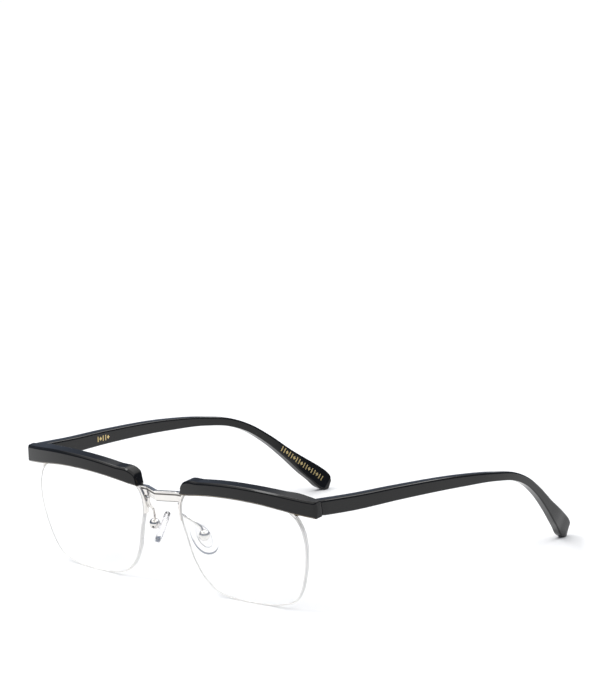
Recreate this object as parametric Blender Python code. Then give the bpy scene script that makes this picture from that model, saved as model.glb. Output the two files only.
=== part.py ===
"""Half rim eyeglasses: each lens hangs from a metal rim above and is held up by a nylon cord below.

Lengths are in millimetres until `finish` turns them into metres. X runs to the wearer's left, Y to
the back, Z up, and the glasses stand on the lower edges of the lenses and on the temple tips.
Every paired piece is made for the left (side 1) and for the right (side -1). The front pieces are
laid out flat, as x, height up the front and depth behind it, and `on_front` sets them on a front
that is curved like the lenses and leans forward at the top.
"""

import math

import bmesh
import bpy
import numpy as np
from mathutils import Matrix, Vector

MM = 0.001

# The boxed size: lens width and height, and the distance between the lenses.
LENS_WIDTH = 53.8
LENS_HEIGHT = 36.9
LENS_GAP = 17.6
LENS_THICKNESS = 2.0
GROOVE_WIDTH = 0.6
GROOVE_DEPTH = 0.5
# The outline about the middle of the box, as shares of the width and height, from the rim's nasal
# end over the top to its temporal end, and back under the lens along the cord.
RIM_OUTLINE = (
    (-0.495, 0.177), (-0.499, 0.272), (-0.486, 0.356), (-0.447, 0.435), (-0.356, 0.486),
    (-0.161, 0.5), (0.081, 0.5), (0.276, 0.486), (0.375, 0.454), (0.442, 0.384),
)
CORD_OUTLINE = (
    (0.481, 0.283), (0.499, 0.137), (0.488, -0.026), (0.456, -0.202), (0.414, -0.34),
    (0.352, -0.438), (0.248, -0.482), (0.044, -0.5), (-0.133, -0.488), (-0.263, -0.446),
    (-0.343, -0.359), (-0.417, -0.196), (-0.467, 0.042),
)
OUTLINE_STEPS = 3
ROUND_SIDES = 24

# The front: sag of the lens surface, slope round the face, and lean of the top towards the front.
SAG = 0.0034
WRAP = 0.066
LEAN = math.radians(8.4)

FIT = 0.1
TOUCH = 0.02

RIM_HEIGHT = 0.85
RIM_DEPTH = 1.8
RIM_GROOVE = 0.35
LINER_WIDTH = 0.5
CORD_RADIUS = 0.22
CORD_TUCK = 2

# The brow bar, as shares of the lens width from its nasal side, and heights over the lens top.
BROW_BOTTOM = (
    (0.02, -2.65), (0.04, -2.55), (0.08, -2.3), (0.19, -1.4), (0.32, -0.65), (0.45, -0.3),
    (0.59, -0.4), (0.73, -0.95), (0.85, -1.85), (0.95, -2.75), (1.0, -3.15), (1.092, -3.95),
)
BROW_TOP = (
    (0.036, 0.5), (0.05, 1.75), (0.08, 2.65), (0.2, 3.4), (0.32, 4.1), (0.45, 4.5),
    (0.59, 4.5), (0.73, 4.15), (0.85, 3.55), (0.95, 2.85), (1.0, 2.5), (1.092, 1.85),
)
BROW_FRONT = 2.15
BROW_BACK = 2.2
BROW_BEVEL = 0.7
BROW_END_TRIM = 0.42
BROW_END_BACK = 1.0
BROW_OVERHANG = 5.6
HALF_WIDTH = LENS_GAP / 2 + LENS_WIDTH + BROW_OVERHANG
END_BLOCK = 7.0

SCREW_RADIUS = 0.4
SCREW_HEAD_RADIUS = 0.75
SCREW_HEAD_HEIGHT = 0.45
SLOT_DEPTH = 0.2
BROW_SCREW_LENGTH = 2.7
PAD_SCREW_LENGTH = 2.85
HINGE_HEAD_RADIUS = 0.9
CHANNEL_REACH = 2.5
LUG_WIDTH = 2.6
LUG_DEPTH = 1.2
LUG_PLACES = (0.34, 0.8)
LUG_SCREW_RISE = 1.8
LUG_RISE = 0.75

BRIDGE_HEIGHT = 3.8
BRIDGE_DEPTH = 1.5
BRIDGE_KEEL = 3.0
BRIDGE_TOP = 34.5
BRIDGE_RAIL = 0.65
BRIDGE_FOLD = 0.78
BRIDGE_ARCH = 0.4

# The nose pads: the middle of the pad box from the middle of the glasses, from the lens middle
# surface and up the front, then the pad's outward and long directions.
PAD_BOX = (12.25, 6.9, 18.1)
PAD_BOX_RADIUS = 1.9
# The ball's mesh is turned, so that no cut runs along its poles or its rings.
BALL_TURN = 0.37
PAD_NORMAL = (-0.72, 0.587, -0.375)
PAD_LONG = (-0.55, -0.15, 0.82)
PAD_LENGTH = 13.4
PAD_WIDTH = 7.8
PAD_THICKNESS = 2.4
PAD_STAND_OFF = 1.85
INSERT_LENGTH = 8.6
INSERT_WIDTH = 4.2
INSERT_THICKNESS = 0.7
PAD_LUG_WIDTH = 1.0
PAD_LUG_REACH = 0.55
ARM_RADIUS = 0.5
PAD_BOX_FLAT = 1.5
PAD_SCREW_SEAT = 1.52

# The hinge: barrels of three knuckles round an upright axis inside the temple's front end.
TEMPLE_THICKNESS = 4.0
SEAM_GAP = 0.12
KNUCKLE_RADIUS = 1.25
KNUCKLE_ROOM = 0.65
HINGE_INSET = KNUCKLE_RADIUS + KNUCKLE_ROOM
HINGE_BACK = 1.5
KNUCKLE_HEIGHT = 1.0
KNUCKLE_GAP = 0.1
PIN_RADIUS = 0.5
PIN_PLAY = 0.06
PLATE_THICKNESS = 0.8
PLATE_HEIGHT = 2.8
FRONT_PLATE_LENGTH = 5.8
TEMPLE_PLATE_LENGTH = 4.5
FRONT_PLATE_MARGIN = 0.3
WEB_SHARE = 0.8

# The temple's middle line: reach behind the seam, drop, swing away from the head, and height.
TEMPLE_REACH = 132.1
TEMPLE_LINE = (
    (0.0, 0.0, 0.0, 5.5), (15.0, 0.8, 1.0, 5.3), (35.0, 1.2, 2.2, 4.8), (65.0, 2.7, 3.0, 4.0),
    (83.0, 4.6, 2.4, 3.1), (93.0, 6.5, 1.2, 2.9), (101.0, 9.7, -0.3, 2.8),
    (109.0, 14.9, -2.2, 3.1), (117.0, 21.5, -4.4, 4.0), (123.0, 26.5, -6.2, 5.6),
    (126.6, 29.4, -7.6, 6.3), (129.1, 31.7, -8.5, 6.7), (130.7, 33.05, -9.1, 5.8),
    (132.1, 33.8, -9.6, 2.9),
)
TIP_HEIGHT = 2.25
TIP_THINNING = 0.6
TEMPLE_TAPER = 0.2
TEMPLE_SOFTNESS = 0.42
CORNER_SHARE = 0.3
DESIGN_END_HEIGHT = 35.3
CORE_RADIUS = 0.6
CORE_SHARE = 0.84

LENS_MIDDLE = LENS_GAP / 2 + LENS_WIDTH / 2
LENS_NASAL = LENS_GAP / 2


def smooth(points, steps, closed=False):
    """A curve through the points, with `steps` chords from one point to the next."""
    points = np.array(points, float)
    if closed:
        points = np.vstack([points[-1], points, points[:2]])
    else:
        before, after = 2 * points[0] - points[1], 2 * points[-1] - points[-2]
        points = np.vstack([before, points, after])
    gaps = np.linalg.norm(np.diff(points, axis=0), axis=1)[:, None]
    slopes = np.diff(points, axis=0) / gaps
    tangents = (slopes[:-1] * gaps[1:] + slopes[1:] * gaps[:-1]) / (gaps[:-1] + gaps[1:])
    t = (np.arange(steps) / steps)[:, None]
    spans = []
    for i in range(len(tangents) - 1):
        leave, arrive = tangents[i] * gaps[i + 1], tangents[i + 1] * gaps[i + 1]
        start, end = points[i + 1], points[i + 2]
        spans.append(
            (2 * t**3 - 3 * t**2 + 1) * start
            + (t**3 - 2 * t**2 + t) * leave
            + (3 * t**2 - 2 * t**3) * end
            + (t**3 - t**2) * arrive
        )
    if not closed:
        spans.append(points[-2:-1])
    return np.concatenate(spans)


def lens_outline():
    """Points of the lens edge in the flat front, and the outward direction at each."""
    shares = smooth(RIM_OUTLINE + CORD_OUTLINE, OUTLINE_STEPS, closed=True)
    points = shares * (LENS_WIDTH, LENS_HEIGHT) + (LENS_MIDDLE, LENS_HEIGHT / 2)
    along = np.roll(points, -1, axis=0) - np.roll(points, 1, axis=0)
    along /= np.linalg.norm(along, axis=1)[:, None]
    return points, np.stack([-along[:, 1], along[:, 0]], axis=1)


def surface_depth(x, height):
    """Depth of the lens middle surface behind the flat front."""
    bow = (abs(x) - LENS_MIDDLE) ** 2 + (height - LENS_HEIGHT / 2) ** 2
    return SAG * bow + WRAP * abs(x)


def lean(x, depth, height):
    """A point of the upright front, in its place on the leaning front."""
    back = depth * math.cos(LEAN) - height * math.sin(LEAN)
    up = height * math.cos(LEAN) + depth * math.sin(LEAN)
    return np.array([x, back, up + LIFT])


def on_front(x, height, depth):
    """A point a given depth behind the lens middle surface."""
    return lean(x, surface_depth(x, height) + depth, height)


OUTLINE, OUTWARD = lens_outline()
# The front is raised until its lowest point, on a lens's front edge, is on the floor.
LIFT = 0.0
LIFT = -min(on_front(x, h, -LENS_THICKNESS / 2)[2] for x, h in OUTLINE)
RIM_LAST = (len(RIM_OUTLINE) - 1) * OUTLINE_STEPS

parts = bpy.data.collections.new("half_rim_eyeglasses")
cutters = bpy.data.collections.new("cutters")


def clear_scene():
    for old in list(bpy.data.objects):
        bpy.data.objects.remove(old, do_unlink=True)
    bpy.context.scene.collection.children.link(parts)
    bpy.context.scene.collection.children.link(cutters)
    cutters.hide_render = True


def material(name, colour, metallic=0.0, roughness=0.4, transmission=0.0):
    made = bpy.data.materials.new(name)
    made.use_nodes = True
    shader = made.node_tree.nodes["Principled BSDF"]
    shader.inputs["Base Color"].default_value = (*colour, 1.0)
    shader.inputs["Metallic"].default_value = metallic
    shader.inputs["Roughness"].default_value = roughness
    shader.inputs["Transmission Weight"].default_value = transmission
    made.diffuse_color = (*colour, 1.0)
    return made


def finish(name, bm, look, origin=(0, 0, 0)):
    """Puts a mesh made in millimetres into the scene in metres, with its origin where it turns."""
    bmesh.ops.remove_doubles(bm, verts=bm.verts, dist=0.0005)
    bmesh.ops.recalc_face_normals(bm, faces=bm.faces)
    shift = Matrix.Scale(MM, 4) @ Matrix.Translation(-Vector(origin))
    bmesh.ops.transform(bm, matrix=shift, verts=bm.verts)
    mesh = bpy.data.meshes.new(name)
    bm.to_mesh(mesh)
    bm.free()
    made = bpy.data.objects.new(name, mesh)
    made.location = Vector(origin) * MM
    if look is None:
        made.hide_render = True
        made.display_type = "WIRE"
        cutters.objects.link(made)
    else:
        mesh.materials.append(look)
        parts.objects.link(made)
    return made


def boolean(made, other, operation="DIFFERENCE"):
    modifier = made.modifiers.new(other.name, "BOOLEAN")
    modifier.operation = operation
    modifier.object = other
    modifier.solver = "EXACT"


def loft(rings, side=1):
    """A closed solid through the rings, with a flat face on the first and the last."""
    bm = bmesh.new()
    rows = [[bm.verts.new((side * x, y, z)) for x, y, z in ring] for ring in rings]
    for one, other in zip(rows, rows[1:]):
        for i in range(len(one)):
            j = (i + 1) % len(one)
            bm.faces.new((one[i], one[j], other[j], other[i]))
    bm.faces.new(rows[0])
    bm.faces.new(rows[-1][::-1])
    return bm


def frame_matrix(origin, across, along, up):
    """Places a primitive's X, Y and Z along three directions."""
    turn = Matrix((across, along, up)).transposed().to_4x4()
    return Matrix.Translation(Vector(origin)) @ turn


def add_box(bm, place, low, high):
    low, high = Vector(low), Vector(high)
    size = Matrix.Diagonal((*(high - low), 1))
    matrix = place @ Matrix.Translation((low + high) / 2) @ size
    bmesh.ops.create_cube(bm, size=1.0, matrix=matrix)


def add_cylinder(bm, place, radius, low, high):
    matrix = place @ Matrix.Translation((0, 0, (low + high) / 2))
    bmesh.ops.create_cone(
        bm, cap_ends=True, segments=ROUND_SIDES, radius1=radius, radius2=radius,
        depth=high - low, matrix=matrix,
    )


def box(name, place, low, high, look=None, origin=(0, 0, 0)):
    bm = bmesh.new()
    add_box(bm, place, low, high)
    return finish(name, bm, look, origin)


def cylinder(name, place, radius, low, high, look=None, origin=(0, 0, 0)):
    bm = bmesh.new()
    add_cylinder(bm, place, radius, low, high)
    return finish(name, bm, look, origin)


def screw(name, place, radius, length, head_radius, head_height, look, origin=(0, 0, 0)):
    """A slotted screw along local Z, with its head above zero and its shank below."""
    bm = bmesh.new()
    add_cylinder(bm, place, head_radius, 0, head_height)
    made = finish(name, bm, look, origin)
    shank = cylinder(name + "_shank", place, radius, -length, head_height / 2, origin=origin)
    slot = box(
        name + "_slot", place, (-2 * head_radius, -head_radius / 5, head_height - SLOT_DEPTH),
        (2 * head_radius, head_radius / 5, 2 * head_height),
    )
    boolean(made, shank, "UNION")
    boolean(made, slot)
    return made


def wire(name, points, radius, sides, look, origin=(0, 0, 0)):
    """A round wire through the points, as a mesh."""
    curve = bpy.data.curves.new(name, "CURVE")
    curve.dimensions = "3D"
    curve.bevel_depth = radius
    curve.bevel_resolution = sides // 2 - 2
    curve.use_fill_caps = True
    spline = curve.splines.new("POLY")
    spline.points.add(len(points) - 1)
    for point, place in zip(spline.points, points):
        point.co = (*place, 1)
    guide = bpy.data.objects.new(name + "_guide", curve)
    mesh = bpy.data.meshes.new_from_object(guide)
    bpy.data.objects.remove(guide)
    bm = bmesh.new()
    bm.from_mesh(mesh)
    return finish(name, bm, look, origin)


def label(name, side):
    return name + ("_left" if side > 0 else "_right")


def along_outline(first, last, section):
    """Rings of a section of (outward, depth) points along the lens edge."""
    rings = []
    for i in range(first, last + 1):
        point, out = OUTLINE[i % len(OUTLINE)], OUTWARD[i % len(OUTLINE)]
        flat = [(point + out * distance, depth) for distance, depth in section]
        rings.append([on_front(x, height, depth) for (x, height), depth in flat])
    return rings


def make_lens(side):
    """A lens of even thickness with a groove round its edge."""
    middle = np.array([LENS_MIDDLE, LENS_HEIGHT / 2])
    half, lip = LENS_THICKNESS / 2, GROOVE_WIDTH / 2
    steps = [
        (0.0, 0.0, -half), (0.55, 0.0, -half), (1.0, 0.0, -half), (1.0, 0.0, -lip),
        (1.0, -GROOVE_DEPTH, -lip), (1.0, -GROOVE_DEPTH, lip), (1.0, 0.0, lip),
        (1.0, 0.0, half), (0.55, 0.0, half), (0.0, 0.0, half),
    ]
    bm = bmesh.new()
    rows = []
    for share, outward, depth in steps:
        flat = middle + (OUTLINE - middle) * share + OUTWARD * outward
        rows.append([bm.verts.new(on_front(x, h, depth) * (side, 1, 1)) for x, h in flat])
    for one, other in zip(rows, rows[1:]):
        for i in range(len(one)):
            j = (i + 1) % len(one)
            bm.faces.new((one[i], one[j], other[j], other[i]))
    bmesh.ops.remove_doubles(bm, verts=bm.verts, dist=0.0005)
    finish(label("lens", side), bm, LENS)


def make_rim(side):
    """A metal channel over the top of the lens, with the liner that fills its groove."""
    inner, outer, half = FIT, FIT + RIM_HEIGHT, RIM_DEPTH / 2
    lip, floor = LINER_WIDTH / 2 + FIT / 2, FIT + RIM_GROOVE
    channel = [
        (outer, -half), (outer, half), (inner, half), (inner, lip),
        (floor, lip), (floor, -lip), (inner, -lip), (inner, -half),
    ]
    finish(label("rim", side), loft(along_outline(0, RIM_LAST, channel), side), METAL)
    low, high, half = FIT - GROOVE_DEPTH, floor - FIT / 2, LINER_WIDTH / 2
    strip = [(low, -half), (low, half), (high, half), (high, -half)]
    start, stop = CORD_TUCK + 1, RIM_LAST - CORD_TUCK - 1
    finish(label("rim_liner", side), loft(along_outline(start, stop, strip), side), NYLON)


def make_cord(side):
    """The nylon cord in the lens groove, with both ends tucked into the rim."""
    count = len(OUTLINE)
    points = []
    for i in range(RIM_LAST - CORD_TUCK, count + CORD_TUCK + 1):
        inside = i <= RIM_LAST or i >= count
        centre = FIT / 2 if inside else -CORD_RADIUS - FIT / 4
        x, height = OUTLINE[i % count] + OUTWARD[i % count] * centre
        points.append(on_front(x, height, 0) * (side, 1, 1))
    wire(label("nylon_cord", side), points, CORD_RADIUS, 6, NYLON)


def brow_lines():
    """Matching points along the brow bar's lower and upper edges, to the outer end."""
    edges = []
    for shares in (BROW_BOTTOM, BROW_TOP):
        points = [(LENS_NASAL + share * LENS_WIDTH, LENS_HEIGHT + rise) for share, rise in shares]
        points[-1] = (HALF_WIDTH, points[-1][1])
        edges.append(smooth(points, 2))
    return edges


def brow_back(x, height):
    """Depth of the brow bar's back, which ends in a flat block where the temple meets it."""
    plain = surface_depth(x, height) + BROW_BACK
    share = min(max((x - HALF_WIDTH + 2 * END_BLOCK) / END_BLOCK, 0.0), 1.0)
    share = share * share * (3 - 2 * share)
    return plain + (SEAM_DEPTH - plain) * share


def make_brow(side):
    """The acetate bar over the rim, bevelled along its front and channelled for the rim."""
    bottoms, tops = brow_lines()
    rings = []
    last = len(bottoms) - 1
    for i, (low, high) in enumerate(zip(bottoms, tops)):
        up = (high - low) / np.linalg.norm(high - low)
        height = np.linalg.norm(high - low)
        trim = BROW_END_TRIM if i in (0, last) else 0.0
        bevel = BROW_BEVEL
        front, back = -BROW_FRONT + trim, -trim
        section = [
            (bevel + trim, front), (height - bevel - trim, front),
            (height - trim, front + bevel), (height - trim, back - bevel / 2),
            (height - bevel / 2 - trim, back), (bevel / 2 + trim, back),
            (trim, back - bevel / 2), (trim, front + bevel),
        ]
        ring = []
        for rise, depth in section:
            x, h = low + up * rise
            if depth > -BROW_FRONT / 2:
                ring.append(lean(x, brow_back(x, h) + depth, h))
            else:
                ring.append(on_front(x, h, depth))
        rings.append(ring)
    made = finish(label("brow_bar", side), loft(rings, side), ACETATE)
    half, outer = max(RIM_DEPTH, LENS_THICKNESS) / 2 + FIT, FIT + RIM_HEIGHT + FIT
    inner = -CHANNEL_REACH
    channel = [(outer, -half), (outer, half), (inner, half), (inner, -half)]
    path = along_outline(0, RIM_LAST, channel)
    boolean(made, finish(label("rim_channel", side), loft(path, side), None))
    return made


def make_lugs(side):
    """Two small blocks soldered to the back of the rim, screwed into the back of the brow bar."""
    brow = parts.objects[label("brow_bar", side)]
    for place_name, share in zip(("nasal", "temporal"), LUG_PLACES):
        x = LENS_NASAL + share * LENS_WIDTH
        top = np.interp(x, OUTLINE[: RIM_LAST + 1, 0], OUTLINE[: RIM_LAST + 1, 1])
        centre = on_front(x, top + LUG_SCREW_RISE, RIM_DEPTH / 2 + TOUCH)
        seat = frame_matrix(
            centre * (side, 1, 1), (1, 0, 0),
            (0, math.sin(LEAN), -math.cos(LEAN)), (0, math.cos(LEAN), math.sin(LEAN)),
        )
        low, high = FIT, LUG_SCREW_RISE - FIT
        half, rise = LUG_WIDTH / 2, LUG_RISE
        name = label("rim_lug_" + place_name, side)
        lug = box(name, seat, (-half, -rise, low), (half, high, low + LUG_DEPTH), METAL)
        pocket = box(
            name + "_pocket", seat, (-half - FIT, -rise - FIT, low - TOUCH),
            (half + FIT, high + LENS_THICKNESS, 4 * LUG_DEPTH), None,
        )
        boolean(brow, pocket)
        tip = low + LUG_DEPTH + TOUCH - BROW_SCREW_LENGTH
        hole = cylinder(
            name + "_hole", seat, SCREW_RADIUS + PIN_PLAY, tip - FIT, 4 * BROW_SCREW_LENGTH
        )
        boolean(lug, hole)
        boolean(brow, hole)
        seat_top = seat @ Matrix.Translation((0, 0, low + LUG_DEPTH + TOUCH))
        screw(
            label("brow_screw_" + place_name, side), seat_top, SCREW_RADIUS, BROW_SCREW_LENGTH,
            SCREW_HEAD_RADIUS, SCREW_HEAD_HEIGHT, PIN_METAL,
        )


def make_bridge():
    """The metal bar between the rims, folded forward to a crease in the middle."""
    end = LENS_NASAL + 2.0
    height = BRIDGE_HEIGHT
    groove = BRIDGE_RAIL * 0.4
    section = [
        (0.0, BRIDGE_DEPTH * 0.25), (0.35, 0.0), (height - BRIDGE_RAIL - groove, 0.0),
        (height - BRIDGE_RAIL - groove, groove), (height - BRIDGE_RAIL, groove),
        (height - BRIDGE_RAIL, 0.0), (height - 0.15, 0.0), (height, 0.15),
        (height, BRIDGE_DEPTH), (0.0, BRIDGE_DEPTH),
    ]
    rings = []
    fold = BRIDGE_FOLD * LENS_NASAL
    for x in (-end, -fold, 0.0, fold, end):
        share = max(0.0, 1 - abs(x) / fold)
        forward = surface_depth(LENS_NASAL, BRIDGE_TOP) - BRIDGE_DEPTH / 2 - share * BRIDGE_KEEL
        low = BRIDGE_TOP - height + share * BRIDGE_ARCH
        rings.append([lean(x, forward + depth, low + rise) for rise, depth in section])
    bridge = finish("bridge", loft(rings), METAL)
    wall = FIT + RIM_HEIGHT + TOUCH
    reach = 3 * BRIDGE_DEPTH
    for side in (1, -1):
        keep_out = [(wall, -reach), (wall, reach), (-2.0, reach), (-2.0, -reach)]
        path = along_outline(0, 4 * OUTLINE_STEPS, keep_out)
        boolean(bridge, finish(label("bridge_end", side), loft(path, side), None))


def pad_frame(side):
    """Where the pad box stands, with X across the pad, Y along it and Z towards the nose."""
    x, behind, height = PAD_BOX
    place = on_front(x, height, behind) * (side, 1, 1)
    normal = Vector(PAD_NORMAL).normalized()
    along = Vector(PAD_LONG)
    along = (along - normal * along.dot(normal)).normalized()
    across = along.cross(normal)
    turn = [Vector((side * v.x, v.y, v.z)) for v in (across, along, normal)]
    turn[0] = turn[1].cross(turn[2])
    return Vector(place), frame_matrix(place, *turn)


def oval_rings(place, length, width, rows, points=28):
    """Rings of an egg shape, wider below, at each (share of its size, height) of the rows."""
    rings = []
    for share, level in rows:
        ring = []
        for i in range(points):
            angle = 2 * math.pi * i / points
            y = length / 2 * math.sin(angle)
            x = width / 2 * math.cos(angle) * (1 - 0.12 * math.sin(angle))
            ring.append(place @ Vector((x * share, y * share, level)))
        rings.append(ring)
    return rings


def make_pad(side):
    """A nose pad on its insert, turning on a screw through the pad box at the end of the arm."""
    centre, place = pad_frame(side)
    top = PAD_STAND_OFF + PAD_THICKNESS
    rows = [
        (0.8, PAD_STAND_OFF), (0.94, PAD_STAND_OFF + 0.35), (1.0, PAD_STAND_OFF + 1.1),
        (0.96, top - 0.55), (0.84, top),
    ]
    pad = loft(oval_rings(place, PAD_LENGTH, PAD_WIDTH, rows))
    pad = finish(label("nose_pad", side), pad, SILICONE, centre)
    floor = PAD_STAND_OFF + INSERT_THICKNESS
    rows = [(1.0, PAD_STAND_OFF - 1.0), (1.0, floor + FIT)]
    bed = oval_rings(place, INSERT_LENGTH + 2 * FIT, INSERT_WIDTH + 2 * FIT, rows)
    boolean(pad, finish(label("insert_bed", side), loft(bed), None))

    rows = [(1.0, PAD_STAND_OFF + TOUCH), (1.0, floor)]
    plate = loft(oval_rings(place, INSERT_LENGTH, INSERT_WIDTH, rows))
    insert = finish(label("pad_insert", side), plate, INSERT, centre)
    half, tall = PAD_LUG_WIDTH / 2, PAD_LUG_WIDTH
    low, high = (-half, -tall, -PAD_LUG_REACH), (half, tall, floor - FIT)
    lug = box(label("pad_lug", side), place, low, high)
    boolean(insert, lug, "UNION")
    across = place @ Matrix.Rotation(-side * math.pi / 2, 4, "Y")
    length = 2 * PAD_BOX_RADIUS
    bore = cylinder(label("pad_bore", side), across, SCREW_RADIUS + PIN_PLAY, -length, length)
    boolean(insert, bore)

    ball = bmesh.new()
    bmesh.ops.create_uvsphere(
        ball, u_segments=20, v_segments=12, radius=PAD_BOX_RADIUS,
        matrix=place @ Matrix.Rotation(BALL_TURN, 4, "X"),
    )
    ball = finish(label("pad_box", side), ball, METAL)
    wide = 2 * PAD_BOX_RADIUS
    low, high = (-wide, -wide, PAD_BOX_FLAT), (wide, wide, wide)
    boolean(ball, box(label("pad_box_face", side), place, low, high))
    room = math.hypot(PAD_LUG_REACH, tall) + FIT
    low, high = (-half - FIT, -tall - 3 * FIT, -room), (half + FIT, tall + 3 * FIT, wide)
    boolean(ball, box(label("pad_box_slot", side), place, low, high))
    boolean(ball, bore)
    recess = SCREW_HEAD_RADIUS + FIT
    boolean(ball, cylinder(label("pad_recess", side), across, recess, PAD_SCREW_SEAT, wide))
    seat = across @ Matrix.Translation((0, 0, PAD_SCREW_SEAT + TOUCH))
    screw(
        label("pad_screw", side), seat, SCREW_RADIUS, PAD_SCREW_LENGTH,
        SCREW_HEAD_RADIUS, SCREW_HEAD_HEIGHT, PIN_METAL,
    )
    make_arm(side)


def make_arm(side):
    """The bent wire from the rim's nasal side, back and down to the top of the pad box."""
    beside = LENS_NASAL - FIT - RIM_HEIGHT - ARM_RADIUS - TOUCH
    root = LENS_HEIGHT * (0.5 + RIM_OUTLINE[1][1])
    box_x, behind, box_height = PAD_BOX
    path = [
        on_front(beside - 0.15, root + 1.6, 0.2), on_front(beside - 0.1, root, 0.25),
        on_front(beside, root - 1.5, 1.0), on_front(beside + 0.8, root - 3.2, 2.8),
        on_front(box_x - 1.9, box_height + 4.4, behind - 1.5),
        on_front(box_x - 0.8, box_height + 2.6, behind - 0.35),
        on_front(box_x - 0.35, box_height + 2.35, behind - 0.25),
    ]
    points = smooth(path, 4) * (side, 1, 1)
    wire(label("pad_arm", side), points, ARM_RADIUS, 8, METAL)


def seam_point(x, height, behind=0.0):
    """A point on the flat end of the brow bar, or a given depth behind it."""
    return lean(x, SEAM_DEPTH + behind, height)


def temple_rings():
    """Rings and middle points of the left temple, from the slanted seam to the rounded tip."""
    start = seam_point(HALF_WIDTH - TEMPLE_THICKNESS / 2, END_HEIGHT, SEAM_GAP)
    rings, middles = [], []
    line = smooth(TEMPLE_LINE, 3)
    scale = TEMPLE_REACH / TEMPLE_LINE[-1][0]
    drop_scale = (start[2] - TIP_HEIGHT) / (DESIGN_END_HEIGHT - TIP_HEIGHT)
    middle = np.stack([
        start[0] + line[:, 2], start[1] + line[:, 0] * scale, start[2] - line[:, 1] * drop_scale,
    ], axis=1)
    slopes = np.gradient(middle, axis=0)
    count = len(middle)
    for i, (centre, slope, height) in enumerate(zip(middle, slopes, line[:, 3])):
        lean_angle = math.atan2(-slope[2], slope[1])
        share = min(i / 3, 1.0)
        lean_angle = -LEAN * (1 - share) + lean_angle * share
        up = np.array([0.0, math.sin(lean_angle), math.cos(lean_angle)])
        thin = TEMPLE_THICKNESS * (1 - TEMPLE_TAPER * min(line[i, 0] / TEMPLE_LINE[4][0], 1.0))
        if i == count - 1:
            thin *= TIP_THINNING
        half, tall = thin / 2, height / 2
        soft = min(half, tall) * TEMPLE_SOFTNESS
        corner = soft * CORNER_SHARE
        outline = [
            (half, tall - soft), (half - corner, tall - corner), (half - soft, tall),
            (-half + soft, tall), (-half + corner, tall - corner), (-half, tall - soft),
            (-half, -tall + soft), (-half + corner, -tall + corner), (-half + soft, -tall),
            (half - soft, -tall), (half - corner, -tall + corner), (half, -tall + soft),
        ]
        rings.append([centre + np.array([x, 0, 0]) + up * z for x, z in outline])
        middles.append(centre)
    rings = np.array(rings)
    fall = (start[2] - np.array(middles)[:, 2]) / (start[2] - middles[-1][2])
    lowest = rings[:, :, 2].min()
    rings[:, :, 2] -= lowest * fall[:, None]
    middles = np.array(middles)
    middles[:, 2] -= lowest * fall
    return rings, middles


def make_temple(side):
    """The acetate temple on its wire core, with the hinge leaf let into its inner side."""
    rings, middles = temple_rings()
    axis = hinge_axis(side)
    temple = finish(label("temple", side), loft(rings, side), ACETATE, axis)
    stop = int(len(middles) * CORE_SHARE)
    middles = middles[:stop] * (side, 1, 1)
    ahead = middles[0] - (middles[1] - middles[0]) * 0.3
    bore = wire(
        label("core_bore", side), np.vstack([ahead, middles[1:]]), CORE_RADIUS + FIT, 8, None
    )
    boolean(temple, bore)
    depart = middles[0] + (middles[1] - middles[0]) * 0.02
    depart[1] = middles[0][1] + 2 * TOUCH
    back = middles[-1] + (middles[-2] - middles[-1]) * 0.2
    core = np.vstack([depart, middles[1:-1], back])
    wire(label("temple_core", side), core, CORE_RADIUS, 8, METAL, axis)
    return temple


def hinge_axis(side):
    """The middle of the hinge pin: inside the temple's inner face and behind the seam."""
    x, y, z = seam_point(HALF_WIDTH - TEMPLE_THICKNESS - HINGE_INSET, END_HEIGHT)
    return Vector((side * x, y + HINGE_BACK, z))


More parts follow.
